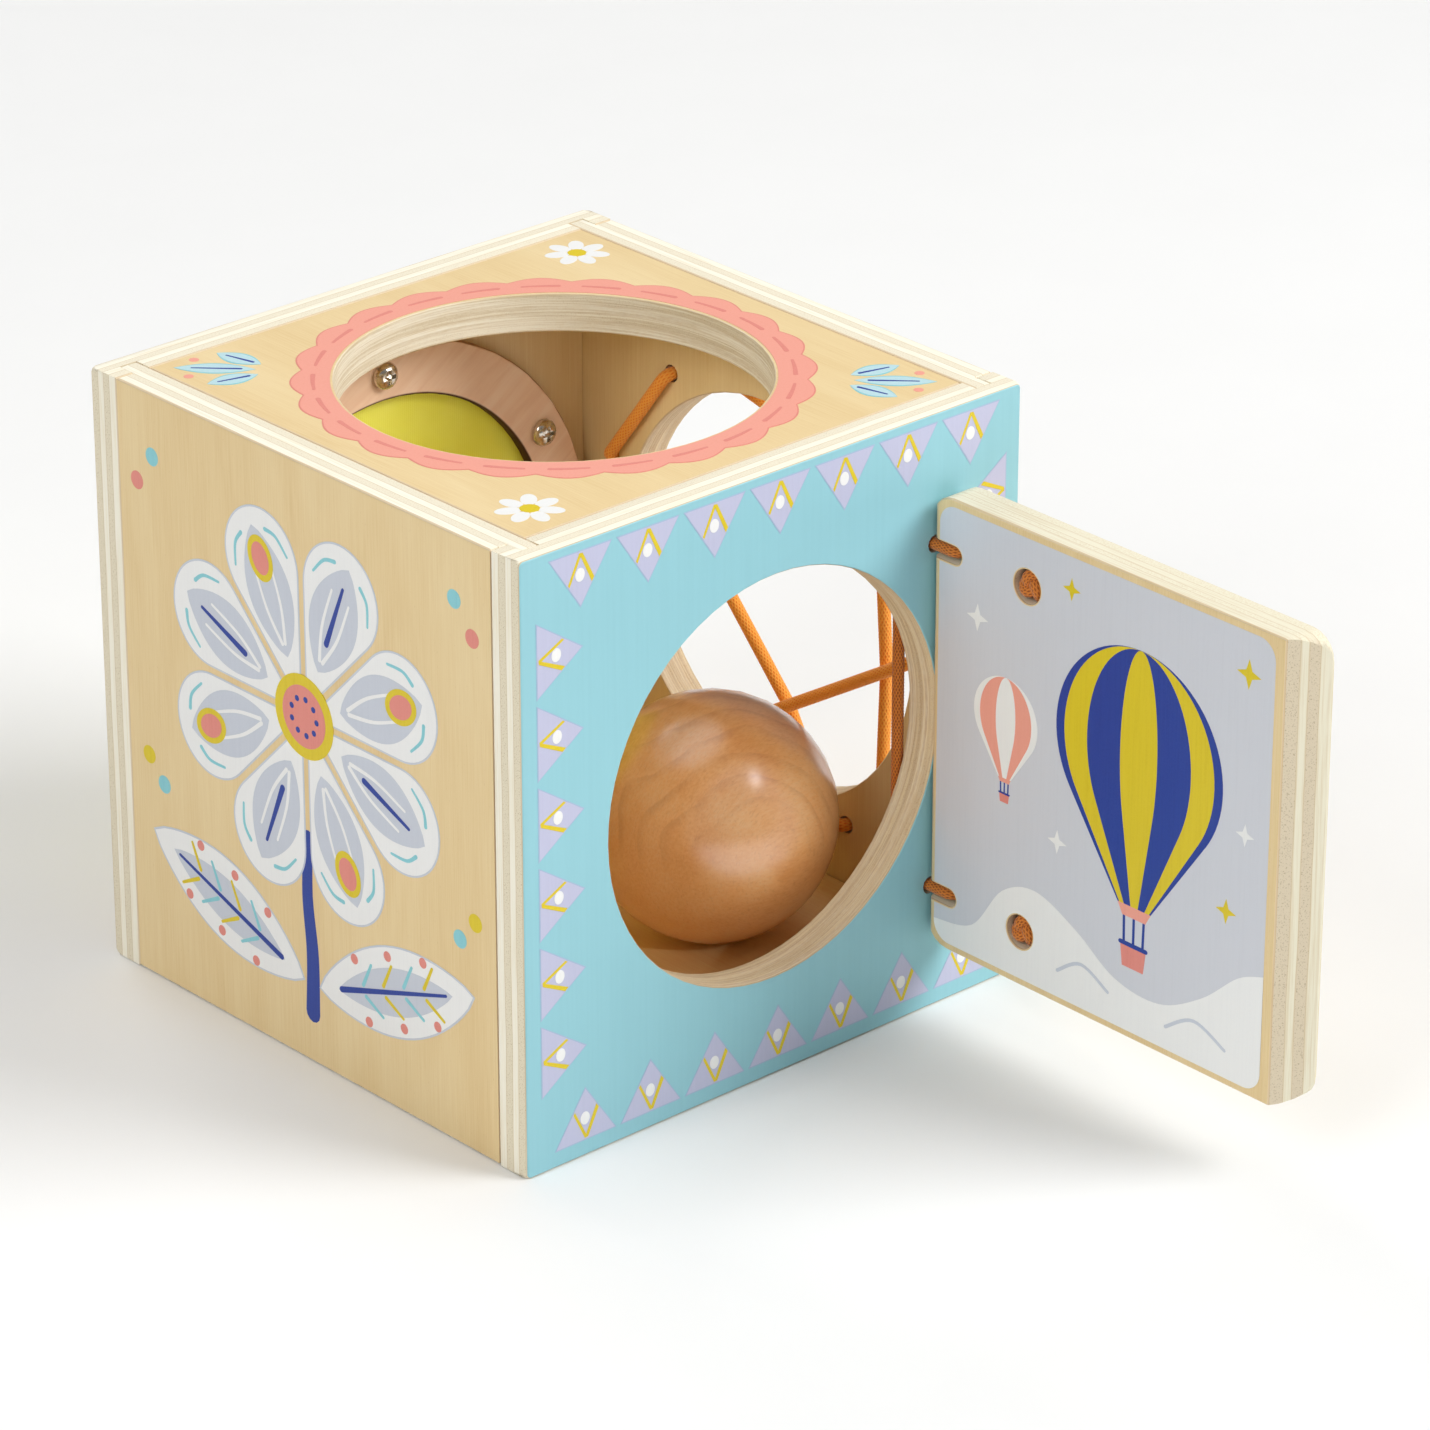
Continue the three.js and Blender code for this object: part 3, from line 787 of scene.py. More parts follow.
def link_mesh(
    name: str, vertices: Iterable[Vector], faces: Iterable[Sequence[int]], smooth: bool
) -> bpy.types.Object:
    """Makes an object from points in millimetres.

    Args:
        name: The piece's name.
        vertices: Its points in the shared frame.
        faces: Its faces by vertex number.
        smooth: Whether it is shaded smooth.

    Returns:
        The new object, linked to the scene.
    """
    mesh = bpy.data.meshes.new(name)
    mesh.from_pydata([tuple(point * MILLIMETRE) for point in vertices], [], [tuple(face) for face in faces])
    mesh.polygons.foreach_set("use_smooth", [smooth] * len(mesh.polygons))
    made = bpy.data.objects.new(name, mesh)
    bpy.context.scene.collection.objects.link(made)
    return made


class CadDresser:
    """Dresses the CAD solids: a finish, welded corners and smooth shading over their eased edges."""

    face_weight: int = 90

    def __init__(self, smooth_angle: float = 50.0, weld_reach: float = 0.002) -> None:
        """Builds the shading nodes that all solids share.

        Args:
            smooth_angle: Edges flatter than this many degrees are shaded smooth.
            weld_reach: Corners nearer than this many millimetres are welded for shading.
        """
        group = bpy.data.node_groups.new("shade_by_angle", "GeometryNodeTree")
        for direction in ("INPUT", "OUTPUT"):
            group.interface.new_socket("Geometry", in_out=direction, socket_type="NodeSocketGeometry")
        source = group.nodes.new("NodeGroupInput")
        weld = group.nodes.new("GeometryNodeMergeByDistance")
        weld.inputs["Distance"].default_value = weld_reach * MILLIMETRE
        faces = group.nodes.new("GeometryNodeSetShadeSmooth")
        faces.domain = "FACE"
        edges = group.nodes.new("GeometryNodeSetShadeSmooth")
        edges.domain = "EDGE"
        angle = group.nodes.new("GeometryNodeInputMeshEdgeAngle")
        flat = group.nodes.new("FunctionNodeCompare")
        flat.operation = "LESS_THAN"
        flat.inputs["B"].default_value = math.radians(smooth_angle)
        result = group.nodes.new("NodeGroupOutput")
        links = group.links
        links.new(source.outputs[0], weld.inputs["Geometry"])
        links.new(weld.outputs["Geometry"], faces.inputs["Geometry"])
        links.new(faces.outputs["Geometry"], edges.inputs["Geometry"])
        links.new(angle.outputs["Unsigned Angle"], flat.inputs["A"])
        links.new(flat.outputs["Result"], edges.inputs["Shade Smooth"])
        links.new(edges.outputs["Geometry"], result.inputs[0])
        self.group = group

    def dress(self, node: str, material: bpy.types.Material) -> None:
        """Gives a CAD node its finish.

        Args:
            node: The node's name.
            material: Its material.
        """
        solid = frame["nodes"][node]
        bpy.context.view_layer.objects.active = solid
        bpy.ops.mesh.customdata_custom_splitnormals_clear()
        for index in range(len(solid.data.materials)):
            solid.data.materials[index] = material
        shading = solid.modifiers.new("shade_by_angle", "NODES")
        shading.node_group = self.group
        weighted = solid.modifiers.new("face_normals", "WEIGHTED_NORMAL")
        weighted.keep_sharp = True
        weighted.weight = self.face_weight
        LOG.info("dressed %s with %s", node, material.name)


# Drawing


def arc(centre: Point, radius: float, start: float, end: float, steps: int = 24) -> Loop:
    """Points along an arc, with angles in degrees."""
    angles = (math.radians(start + (end - start) * step / steps) for step in range(steps + 1))
    return [(centre[0] + radius * math.cos(a), centre[1] + radius * math.sin(a)) for a in angles]


def circle(centre: Point, radius: float, steps: int = 40) -> Loop:
    """A circle's loop."""
    return arc(centre, radius, 0.0, 360.0, steps=steps)[:-1]


def placed(loop: Iterable[Point], centre: Point, lean: float) -> Loop:
    """A loop drawn round the origin, turned by lean degrees and moved to centre."""
    ahead, up = math.cos(math.radians(lean)), math.sin(math.radians(lean))
    return [(centre[0] + x * ahead - y * up, centre[1] + x * up + y * ahead) for x, y in loop]


def ellipse(centre: Point, length: float, width: float, lean: float, steps: int = 48) -> Loop:
    """An ellipse's loop.

    Args:
        centre: Its middle.
        length: Half its length.
        width: Half its width.
        lean: The angle of its length, in degrees.
        steps: Number of points.

    Returns:
        The loop.
    """
    angles = (2 * math.pi * step / steps for step in range(steps))
    return placed([(length * math.cos(angle), width * math.sin(angle)) for angle in angles], centre, lean)


def leaf(base: Point, tip: Point, width: float, fullness: float = 0.8, steps: int = 20) -> Loop:
    """A leaf that is pointed at both ends.

    Args:
        base: Where it grows from.
        tip: Its far end.
        width: Its greatest width.
        fullness: Below 1 for fuller ends, above 1 for sharper ones.
        steps: Points along each side.

    Returns:
        The loop.
    """
    along = Vector(tip) - Vector(base)
    aside = Vector((-along.y, along.x)).normalized()
    near: Loop = []
    far: Loop = []
    for step in range(steps + 1):
        share = step / steps
        half = width / 2 * math.sin(math.pi * share) ** fullness
        middle = Vector(base) + along * share
        near.append(tuple(middle - aside * half))
        far.append(tuple(middle + aside * half))
    return near + far[-2:0:-1]


def stroke(line: Sequence[Point], first_width: float, last_width: float, cap_steps: int = 5) -> Loop:
    """A drawn line with round ends.

    Args:
        line: Its points.
        first_width: Its width at the start.
        last_width: Its width at the end.
        cap_steps: Points round each end.

    Returns:
        The loop round the line.
    """
    points = [Vector(point) for point in line]
    left: list[Vector] = []
    right: list[Vector] = []
    count = len(points) - 1
    for index, point in enumerate(points):
        heading = (points[min(index + 1, count)] - points[max(index - 1, 0)]).normalized()
        aside = Vector((-heading.y, heading.x))
        half = (first_width + (last_width - first_width) * index / count) / 2
        left.append(point + aside * half)
        right.append(point - aside * half)

    def cap(middle: Vector, start: Vector) -> list[Vector]:
        """A half circle round one end of the line.

        Args:
            middle: The line's end.
            start: The corner that the half circle starts from.

        Returns:
            The points between its two corners.
        """
        x, y = start - middle
        rim = []
        for step in range(1, cap_steps + 1):
            turn = -math.pi * step / (cap_steps + 1)
            ahead, up = math.cos(turn), math.sin(turn)
            rim.append(middle + Vector((x * ahead - y * up, x * up + y * ahead)))
        return rim

    loop = left + cap(points[-1], left[-1]) + right[::-1] + cap(points[0], right[0])
    return [tuple(point) for point in loop[::-1]]


def star(centre: Point, radius: float, points: int = 4, waist: float = 0.36) -> Loop:
    """A small star standing on one point.

    Args:
        centre: Its middle.
        radius: The reach of its points.
        points: Number of points.
        waist: The reach of the corners between them, as a share of the radius.

    Returns:
        The loop.
    """
    loop = []
    for step in range(2 * points):
        reach = radius if step % 2 == 0 else radius * waist
        angle = math.pi / 2 + math.pi * step / points
        loop.append((centre[0] + reach * math.cos(angle), centre[1] + reach * math.sin(angle)))
    return loop


def smooth_line(stops: Sequence[Point], steps: int = 8) -> Loop:
    """A soft curve through the stops.

    Args:
        stops: The points that it passes through.
        steps: Number of steps from one stop to the next.

    Returns:
        The curve's points.
    """
    padded = [stops[0], *stops, stops[-1]]
    line: Loop = []
    for a, b, c, d in zip(padded, padded[1:], padded[2:], padded[3:]):
        for step in range(steps):
            t = step / steps
            point = []
            for p, q, r, s in zip(a, b, c, d):
                square = (2 * p - 5 * q + 4 * r - s) * t**2
                cube = (3 * q - p - 3 * r + s) * t**3
                point.append(0.5 * (2 * q + (r - p) * t + square + cube))
            line.append(tuple(point))
    return [*line, tuple(stops[-1])]


@dataclass(frozen=True)
class PrintedFace:
    """A face that carries ink: its origin, its drawing axes and the body that it is on."""

    name: str
    origin: Vector
    across: Vector
    up: Vector
    body: Body

    def point(self, place: Point, lift: float) -> Vector:
        """A drawing's point in the shared frame, lifted off the face."""
        out = self.across.cross(self.up)
        return self.origin + self.across * place[0] + self.up * place[1] + out * lift


@dataclass
class Drawing:
    """A print: filled shapes on one face, each ink of each level made into one thin closed film."""

    face: PrintedFace
    bury: float = 0.02
    lift: float = 0.04
    level_step: float = 0.03
    fills: dict[tuple[int, Ink], list[list[Loop]]] = field(default_factory=dict)

    def fill(self, ink: Ink, outline: Loop, holes: Sequence[Loop] = (), level: int = 0) -> None:
        """Adds a filled shape.

        Args:
            ink: Its ink.
            outline: Its outer loop.
            holes: Loops left open in it.
            level: How many films lie under it.
        """
        self.fills.setdefault((level, ink), []).append([outline, *holes])

    def film_mesh(
        self, shapes: list[list[Loop]], level: int
    ) -> tuple[list[Vector], list[tuple[int, ...]]]:
        """Makes the points and faces of one film.

        Args:
            shapes: Its shapes, each an outline and the holes in it.
            level: How many films lie under it.

        Returns:
            The points and the faces, with a closed plate for each shape.
        """
        top = self.lift + self.level_step * level
        vertices: list[Vector] = []
        faces: list[tuple[int, ...]] = []
        for shape in shapes:
            start = len(vertices)
            loops = [[Vector((x, y, 0.0)) for x, y in loop] for loop in shape]
            outline = [point for loop in loops for point in loop]
            count = len(outline)
            vertices += [self.face.point((point.x, point.y), top) for point in outline]
            vertices += [self.face.point((point.x, point.y), -self.bury) for point in outline]
            for a, b, c in tessellate_polygon(loops):
                faces.append((start + a, start + b, start + c))
                faces.append((start + count + c, start + count + b, start + count + a))
            first = start
            for loop in loops:
                size = len(loop)
                for step in range(size):
                    a, b = first + step, first + (step + 1) % size
                    faces.append((a, b, b + count, a + count))
                first += size
        return vertices, faces

    def build(self) -> None:
        """Makes the films and puts them on the face's body."""
        for level, ink in sorted(self.fills, key=lambda film: (film[0], film[1].name)):
            vertices, faces = self.film_mesh(self.fills[level, ink], level)
            film = link_mesh(f"{self.face.name}_{ink.name.lower()}_{level}", vertices, faces, smooth=False)
            shape = bmesh.new()
            shape.from_mesh(film.data)
            bmesh.ops.recalc_face_normals(shape, faces=shape.faces)
            shape.to_mesh(film.data)
            shape.free()
            film.data.materials.append(ink.material())
            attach(film, self.face.body.value)
            LOG.info("printed %s", film.name)


# Sub-assemblies


@dataclass
class Carcass:
    """The six glued panels."""

    blue: Paint = Paint(tone(149, 203, 213), tone(147, 201, 211))

    def dress(self, dresser: CadDresser) -> None:
        """Gives each panel its plywood.

        Args:
            dresser: What dresses CAD nodes.
        """
        middle = (0.0, 0.0, MID_HEIGHT)
        panels = {
            "front_panel": Plywood(
                "front_blue_ply",
                through=Axis.Y,
                outer=-HALF_EDGE,
                inner=-INNER_FACE,
                grain=Axis.Z,
                paint=self.blue,
                bore=middle,
            ),
            "back_panel": Plywood(
                "back_birch_ply",
                through=Axis.Y,
                outer=HALF_EDGE,
                inner=INNER_FACE,
                grain=Axis.Z,
                bore=middle,
            ),
            "left_panel": Plywood(
                "left_birch_ply",
                through=Axis.X,
                outer=-HALF_EDGE,
                inner=-INNER_FACE,
                grain=Axis.Z,
            ),
            "right_panel": Plywood(
                "right_birch_ply",
                through=Axis.X,
                outer=HALF_EDGE,
                inner=INNER_FACE,
                grain=Axis.Z,
                bore=middle,
            ),
            "top_panel": Plywood(
                "top_birch_ply",
                through=Axis.Z,
                outer=CUBE_EDGE,
                inner=CUBE_EDGE - PLY_THICKNESS,
                grain=Axis.Y,
                bore=middle,
                routed=tone(246, 237, 214),
                scored=tone(208, 187, 148),
            ),
            # Lighter and more orange than the other panels: painted warm light bounced round inside the box.
            "bottom_panel": Plywood(
                "bottom_birch_ply",
                through=Axis.Z,
                outer=0.0,
                inner=PLY_THICKNESS,
                grain=Axis.Y,
                light=tone(250, 222, 166),
                middle=tone(244, 208, 148),
                dark=tone(232, 190, 126),
            ),
        }
        for node, finish in panels.items():
            dresser.dress(node, finish.material())


@dataclass
class PennantBorder:
    """The border of small triangles round the front face."""

    base: float = 16.2
    height: float = 11.8
    pitch: float = 18.2
    row_start: float = -54.0
    column_start: float = 117.0
    row_count: int = 7
    column_count: int = 6
    top_base: float = 137.9
    bottom_base: float = 4.0
    side_base: float = 65.7
    outline: float = 0.28

    def pennant(self, drawing: Drawing, base: Point, inward: Point, flip: float) -> None:
        """Draws one triangle with its chevron and dot.

        Args:
            drawing: The print that it goes into.
            base: The middle of its base.
            inward: The direction of its apex, of length one.
            flip: The side of the chevron's thick leg, 1 or -1.
        """
        aside = (-inward[1] * flip, inward[0] * flip)

        def at(along: float, deep: float) -> Point:
            """A point of the triangle in the face's drawing."""
            x, y = (base[axis] + aside[axis] * along + inward[axis] * deep for axis in (0, 1))
            return x, y

        half = self.base / 2
        grow = self.outline
        wide = half + 1.6 * grow
        drawing.fill(Ink.LILAC_LINE, [at(-wide, -grow), at(wide, -grow), at(0.0, self.height + 1.8 * grow)])
        drawing.fill(Ink.LILAC, [at(-half, 0.0), at(half, 0.0), at(0.0, self.height)], level=1)
        thin = [at(-0.3, 0.3), at(0.4, 0.5), at(-2.95, 7.15), at(-3.35, 6.6)]
        thick = [at(0.6, 0.4), at(-0.3, 0.3), at(2.95, 7.3), at(3.6, 6.4)]
        drawing.fill(Ink.MUSTARD, thin, level=2)
        drawing.fill(Ink.MUSTARD, thick, level=3)
        dot = ellipse(at(-0.2, 5.0), length=1.5, width=1.25, lean=90.0, steps=24)
        drawing.fill(Ink.OFF_WHITE, dot, level=4)

    def build(self) -> None:
        """Draws the whole border on the front face."""
        front = PrintedFace(
            "front_print", Vector((0.0, -HALF_EDGE, 0.0)), Vector((1, 0, 0)), Vector((0, 0, 1)), Body.CUBE
        )
        drawing = Drawing(front)
        for index in range(self.row_count):
            along = self.row_start + self.pitch * index
            self.pennant(drawing, (along, self.top_base), (0.0, -1.0), flip=1.0)
            self.pennant(drawing, (along, self.bottom_base), (0.0, 1.0), flip=-1.0)
        for index in range(self.column_count):
            up = self.column_start - self.pitch * index
            self.pennant(drawing, (-self.side_base, up), (1.0, 0.0), flip=-1.0)
            self.pennant(drawing, (self.side_base, up), (-1.0, 0.0), flip=-1.0)
        drawing.build()


@dataclass
class FlowerPrint:
    """The large flower on the left face."""

    head: Point = (0.0, 82.0)
    petals: int = 8
    petal_middle: float = 34.0
    petal_foot: float = 9.0
    gap: float = 1.5
    outline: float = 0.45
    disc: float = 9.6
    disc_spots: int = 9
    leaf_base: Point = (2.4, 19.0)
    leaf_tip: Point = (54.0, 36.5)

    def petal_loop(self, angle: float, shrink: float) -> Loop:
        """A petal with straight sides and a round tip.

        Args:
            angle: Its direction in degrees.
            shrink: How far it stays inside its sector.

        Returns:
            The loop.
        """
        half = 180.0 / self.petals
        turn = math.radians(half)
        radius = self.petal_middle * math.sin(turn) - shrink
        tip = arc((self.petal_middle, 0.0), radius, -90.0 - half, 90.0 + half, steps=30)
        foot = self.petal_foot * math.tan(turn) - shrink / math.cos(turn)
        loop = [(self.petal_foot, -foot), *tip, (self.petal_foot, foot)]
        return placed(loop, self.head, angle)

    def petal(self, drawing: Drawing, angle: float, spotted: bool) -> None:
        """Draws one petal with its veins.

        Args:
            drawing: The print that it goes into.
            angle: Its direction in degrees.
            spotted: Whether it carries a coral spot.
        """
        out = Vector((math.cos(math.radians(angle)), math.sin(math.radians(angle))))
        aside = Vector((-out.y, out.x))
        head = Vector(self.head)

        def at(along: float, sideways: float) -> Point:
            """A point of the petal in the face's drawing."""
            return tuple(head + out * along + aside * sideways)

        drawing.fill(Ink.GREY, self.petal_loop(angle, self.gap / 2), level=1)
        drawing.fill(Ink.OFF_WHITE, self.petal_loop(angle, self.gap / 2 + self.outline), level=2)
        drawing.fill(Ink.GREY, leaf(at(13.0, 0), at(42.0, 0), width=15.0, fullness=0.75), level=3)
        for side in (-1.0, 1.0):
            vein = smooth_line([at(16.0, 0.5 * side), at(24.0, 2.6 * side), at(34.0, 2.9 * side)])
            drawing.fill(Ink.OFF_WHITE, stroke(vein, 1.0, 0.6), level=4)
            ray = smooth_line([at(40.6, 4.4 * side), at(38.6, 7.4 * side), at(34.0, 9.4 * side)])
            drawing.fill(Ink.TURQUOISE, stroke(ray, 1.0, 0.6), level=3)
        if spotted:
            drawing.fill(Ink.MUSTARD, ellipse(at(34.6, 0), length=5.2, width=4.0, lean=angle), level=5)
            drawing.fill(Ink.DEEP_CORAL, ellipse(at(34.6, 0), length=3.7, width=2.7, lean=angle), level=6)
        else:
            drawing.fill(Ink.NAVY, stroke([at(21.0, 0), at(36.5, 0)], 1.5, 0.8), level=5)

    def foliage(self, drawing: Drawing, side: float) -> None:
        """Draws the large leaf on one side of the stem.

        Args:
            drawing: The print that it goes into.
            side: 1 for the right leaf and -1 for the left.
        """
        base = Vector((self.leaf_base[0] * side, self.leaf_base[1]))
        run = Vector((self.leaf_tip[0] * side, self.leaf_tip[1])) - base
        over = Vector((-run.y, run.x)).normalized()

        def at(share: float, sideways: float = 0.0) -> Point:
            """A point of the leaf in the face's drawing."""
            return tuple(base + run * share + over * sideways)

        drawing.fill(Ink.GREY, leaf(at(0.0), at(1.0), width=21.0, fullness=0.75), level=1)
        drawing.fill(Ink.OFF_WHITE, leaf(at(0.012), at(0.988), width=20.1, fullness=0.76), level=2)
        drawing.fill(Ink.GREY, leaf(at(0.13), at(0.86), width=11.0, fullness=0.8), level=3)
        drawing.fill(Ink.NAVY, stroke([at(0.15), at(0.82)], 1.4, 0.7), level=5)
        for index, share in enumerate((0.3, 0.43, 0.56, 0.69)):
            ink = Ink.MUSTARD if index % 2 else Ink.TURQUOISE
            for edge in (-1.0, 1.0):
                vein = [at(share, edge * 1.3), at(share + 0.08, edge * 5.8)]
                drawing.fill(ink, stroke(vein, 1.0, 0.7), level=4)
        for share, reach in ((0.28, 7.0), (0.5, 8.0), (0.72, 7.0)):
            for edge in (-1.0, 1.0):
                drawing.fill(Ink.DEEP_CORAL, circle(at(share, edge * reach), 1.2, steps=20), level=3)

    def build(self) -> None:
        """Draws the flower on the left face."""
        left = PrintedFace(
            "left_print", Vector((-HALF_EDGE, 0.0, 0.0)), Vector((0, -1, 0)), Vector((0, 0, 1)), Body.CUBE
        )
        drawing = Drawing(left)
        stem = smooth_line([(0.0, 54.0), (-0.8, 40.0), (0.4, 26.0), (0.0, 12.0)])
        drawing.fill(Ink.NAVY, stroke(stem, 3.0, 4.6))
        for index in range(self.petals):
            self.petal(drawing, 360.0 / self.petals * (index + 0.5), index % 2 == 0)
        for side in (-1.0, 1.0):
            self.foliage(drawing, side)
            for place, ink in (
                ((49.5, 125.5), Ink.TURQUOISE),
                ((55.0, 118.5), Ink.DEEP_CORAL),
                ((54.5, 54.0), Ink.MUSTARD),
                ((49.5, 48.5), Ink.TURQUOISE),
            ):
                drawing.fill(ink, circle((place[0] * side, place[1]), 2.1, steps=24))
        drawing.fill(Ink.MUSTARD, circle(self.head, self.disc, steps=56), level=6)
        drawing.fill(Ink.DEEP_CORAL, circle(self.head, self.disc * 0.74, steps=48), level=7)
        for index in range(self.disc_spots):
            angle = 360.0 / self.disc_spots * index
            spot = arc(self.head, self.disc * 0.44, angle, angle, steps=1)[0]
            drawing.fill(Ink.NAVY, circle(spot, 0.7, steps=14), level=8)
        drawing.build()


@dataclass
class TopPrint:
    """The scalloped band round the top opening, with sprigs and daisies in the corners."""

    inner: float = OPENING_RADIUS + 0.75
    outer: float = 53.6
    scallop: float = 2.2
    scallops: int = 24
    scallop_steps: int = 12
    outline: float = 0.35
    dash_radius: float = 51.2
    daisy_place: float = 50.5
    daisy_petals: int = 7

    def band(self, drawing: Drawing) -> None:
        """Draws the scalloped band and its darker strokes.

        Args:
            drawing: The print that it goes into.
        """
        steps = self.scallop_steps * self.scallops
        edge: Loop = []
        line: Loop = []
        for step in range(steps):
            turn = 2 * math.pi * step / steps
            reach = self.outer + self.scallop * abs(math.sin(turn * self.scallops / 2))
            ahead, up = math.cos(turn), math.sin(turn)
            edge.append((reach * ahead, reach * up))
            line.append(((reach + self.outline) * ahead, (reach + self.outline) * up))
        bore = circle((0.0, 0.0), self.inner, steps=160)
        drawing.fill(Ink.DEEP_CORAL, line, [bore])
        drawing.fill(Ink.CORAL, edge, [bore], level=1)
        spread = 360.0 / self.scallops
        for index in range(self.scallops):
            middle = spread * (index + 0.5)
            bow = arc((0.0, 0.0), self.dash_radius, middle - spread * 0.3, middle + spread * 0.3, steps=8)
            drawing.fill(Ink.DEEP_CORAL, stroke(bow, 1.1, 0.7), level=2)

    def sprig(self, drawing: Drawing, side_x: float, side_y: float) -> None:
        """Draws a three-leaved sprig in one corner.

        Args:
            drawing: The print that it goes into.
            side_x: The corner's side along X, 1 or -1.
            side_y: The corner's side along Y, 1 or -1.
        """

        def at(x: float, y: float) -> Point:
            """A point of the corner, mirrored to its place."""
            return x * side_x, y * side_y

        for base, tip in (
            ((45.0, 45.0), (57.4, 57.4)),
            ((46.4, 42.4), (57.8, 45.4)),
            ((42.4, 46.4), (45.4, 57.8)),
        ):
            start, end = at(*base), at(*tip)
            drawing.fill(Ink.TURQUOISE, leaf(start, end, width=5.8, fullness=0.9))
            drawing.fill(Ink.PALE_BLUE, leaf(start, end, width=4.8, fullness=0.95), level=1)
            near = tuple(Vector(start).lerp(Vector(end), 0.18))
            far = tuple(Vector(start).lerp(Vector(end), 0.78))
            drawing.fill(Ink.NAVY, stroke([near, far], 0.75, 0.45), level=2)
        for spot in ((58.0, 51.4), (51.4, 58.0)):
            drawing.fill(Ink.CORAL, circle(at(*spot), 1.1, steps=20))

    def daisy(self, drawing: Drawing, side_x: float, side_y: float) -> None:
        """Draws a small daisy in one corner.

        Args:
            drawing: The print that it goes into.
            side_x: The corner's side along X, 1 or -1.
            side_y: The corner's side along Y, 1 or -1.
        """
        middle = (self.daisy_place * side_x, self.daisy_place * side_y)
        for index in range(self.daisy_petals):
            angle = 360.0 / self.daisy_petals * index
            reach = arc(middle, 4.6, angle, angle, steps=1)[0]
            drawing.fill(Ink.OFF_WHITE, ellipse(reach, length=2.8, width=1.75, lean=angle, steps=28))
        drawing.fill(Ink.MUSTARD, circle(middle, 2.1, steps=28), level=1)

    def build(self) -> None:
        """Draws the print on the top face."""
        top = PrintedFace(
            "top_print", Vector((0.0, 0.0, CUBE_EDGE)), Vector((1, 0, 0)), Vector((0, 1, 0)), Body.CUBE
        )
        drawing = Drawing(top)
        self.band(drawing)
        self.sprig(drawing, -1.0, 1.0)
        self.sprig(drawing, 1.0, -1.0)
        self.daisy(drawing, -1.0, -1.0)
        self.daisy(drawing, 1.0, 1.0)
        drawing.build()


@dataclass
class Balloon:
    """A striped balloon of the door's print."""

    middle: Point
    radius: float
    inks: tuple[Ink, Ink]
    gores: int = 7
    shoulder: float = 35.0
    neck_share: float = 0.2
    basket_for_radius: float = 24.0

    def half_widths(self) -> list[Point]:
        """Finds the envelope's outline.

        Returns:
            Its half width and its height above its middle, from the top down to the neck.
        """
        side = arc((0.0, 0.0), self.radius, 90.0, -self.shoulder, steps=28)
        neck = self.radius * self.neck_share
        slope = math.radians(self.shoulder)
        drop = (side[-1][0] - neck) / math.tan(slope)
        return [*side, (neck, side[-1][1] - drop)]

    def draw(self, drawing: Drawing) -> None:
        """Draws the gores, the skirt, the ropes and the basket.

        Args:
            drawing: The print that it goes into.
        """
        side = self.half_widths()
        cuts = [math.sin(math.pi * (index / self.gores - 0.5)) for index in range(self.gores + 1)]
        u, v = self.middle
        for index, (first, last) in enumerate(zip(cuts, cuts[1:])):
            near = [(u + first * width, v + height) for width, height in side[1:]]
            far = [(u + last * width, v + height) for width, height in side[1:]]
            drawing.fill(self.inks[index % 2], [(u, v + self.radius), *near, *far[::-1]], level=2)
        neck, foot = side[-1]
        bottom = v + foot
        size = self.radius / self.basket_for_radius
        skirt = [(u - neck, bottom), (u - neck * 0.7, bottom - 2.6 * size)]
        drawing.fill(Ink.CORAL, [*skirt, *[(2 * u - x, y) for x, y in skirt[::-1]]], level=2)
        basket_top = bottom - 9.0 * size
        for share in (-0.6, 0.0, 0.6):
            rope = [(u + neck * share, bottom - 2.8 * size), (u + neck * share * 0.95, basket_top)]
            drawing.fill(Ink.NAVY, stroke(rope, 0.5 * size + 0.2, 0.5 * size + 0.2), level=1)
        half = neck * 0.78
        low = basket_top - 5.4 * size
        rim = [(u - half, basket_top), (u + half, basket_top)]
        base = [(u - half * 0.82, low), (u + half * 0.82, low)]
        drawing.fill(Ink.DEEP_CORAL, [rim[0], *base, rim[1]], level=2)
        drawing.fill(Ink.NAVY, stroke(rim, size, size), level=3)


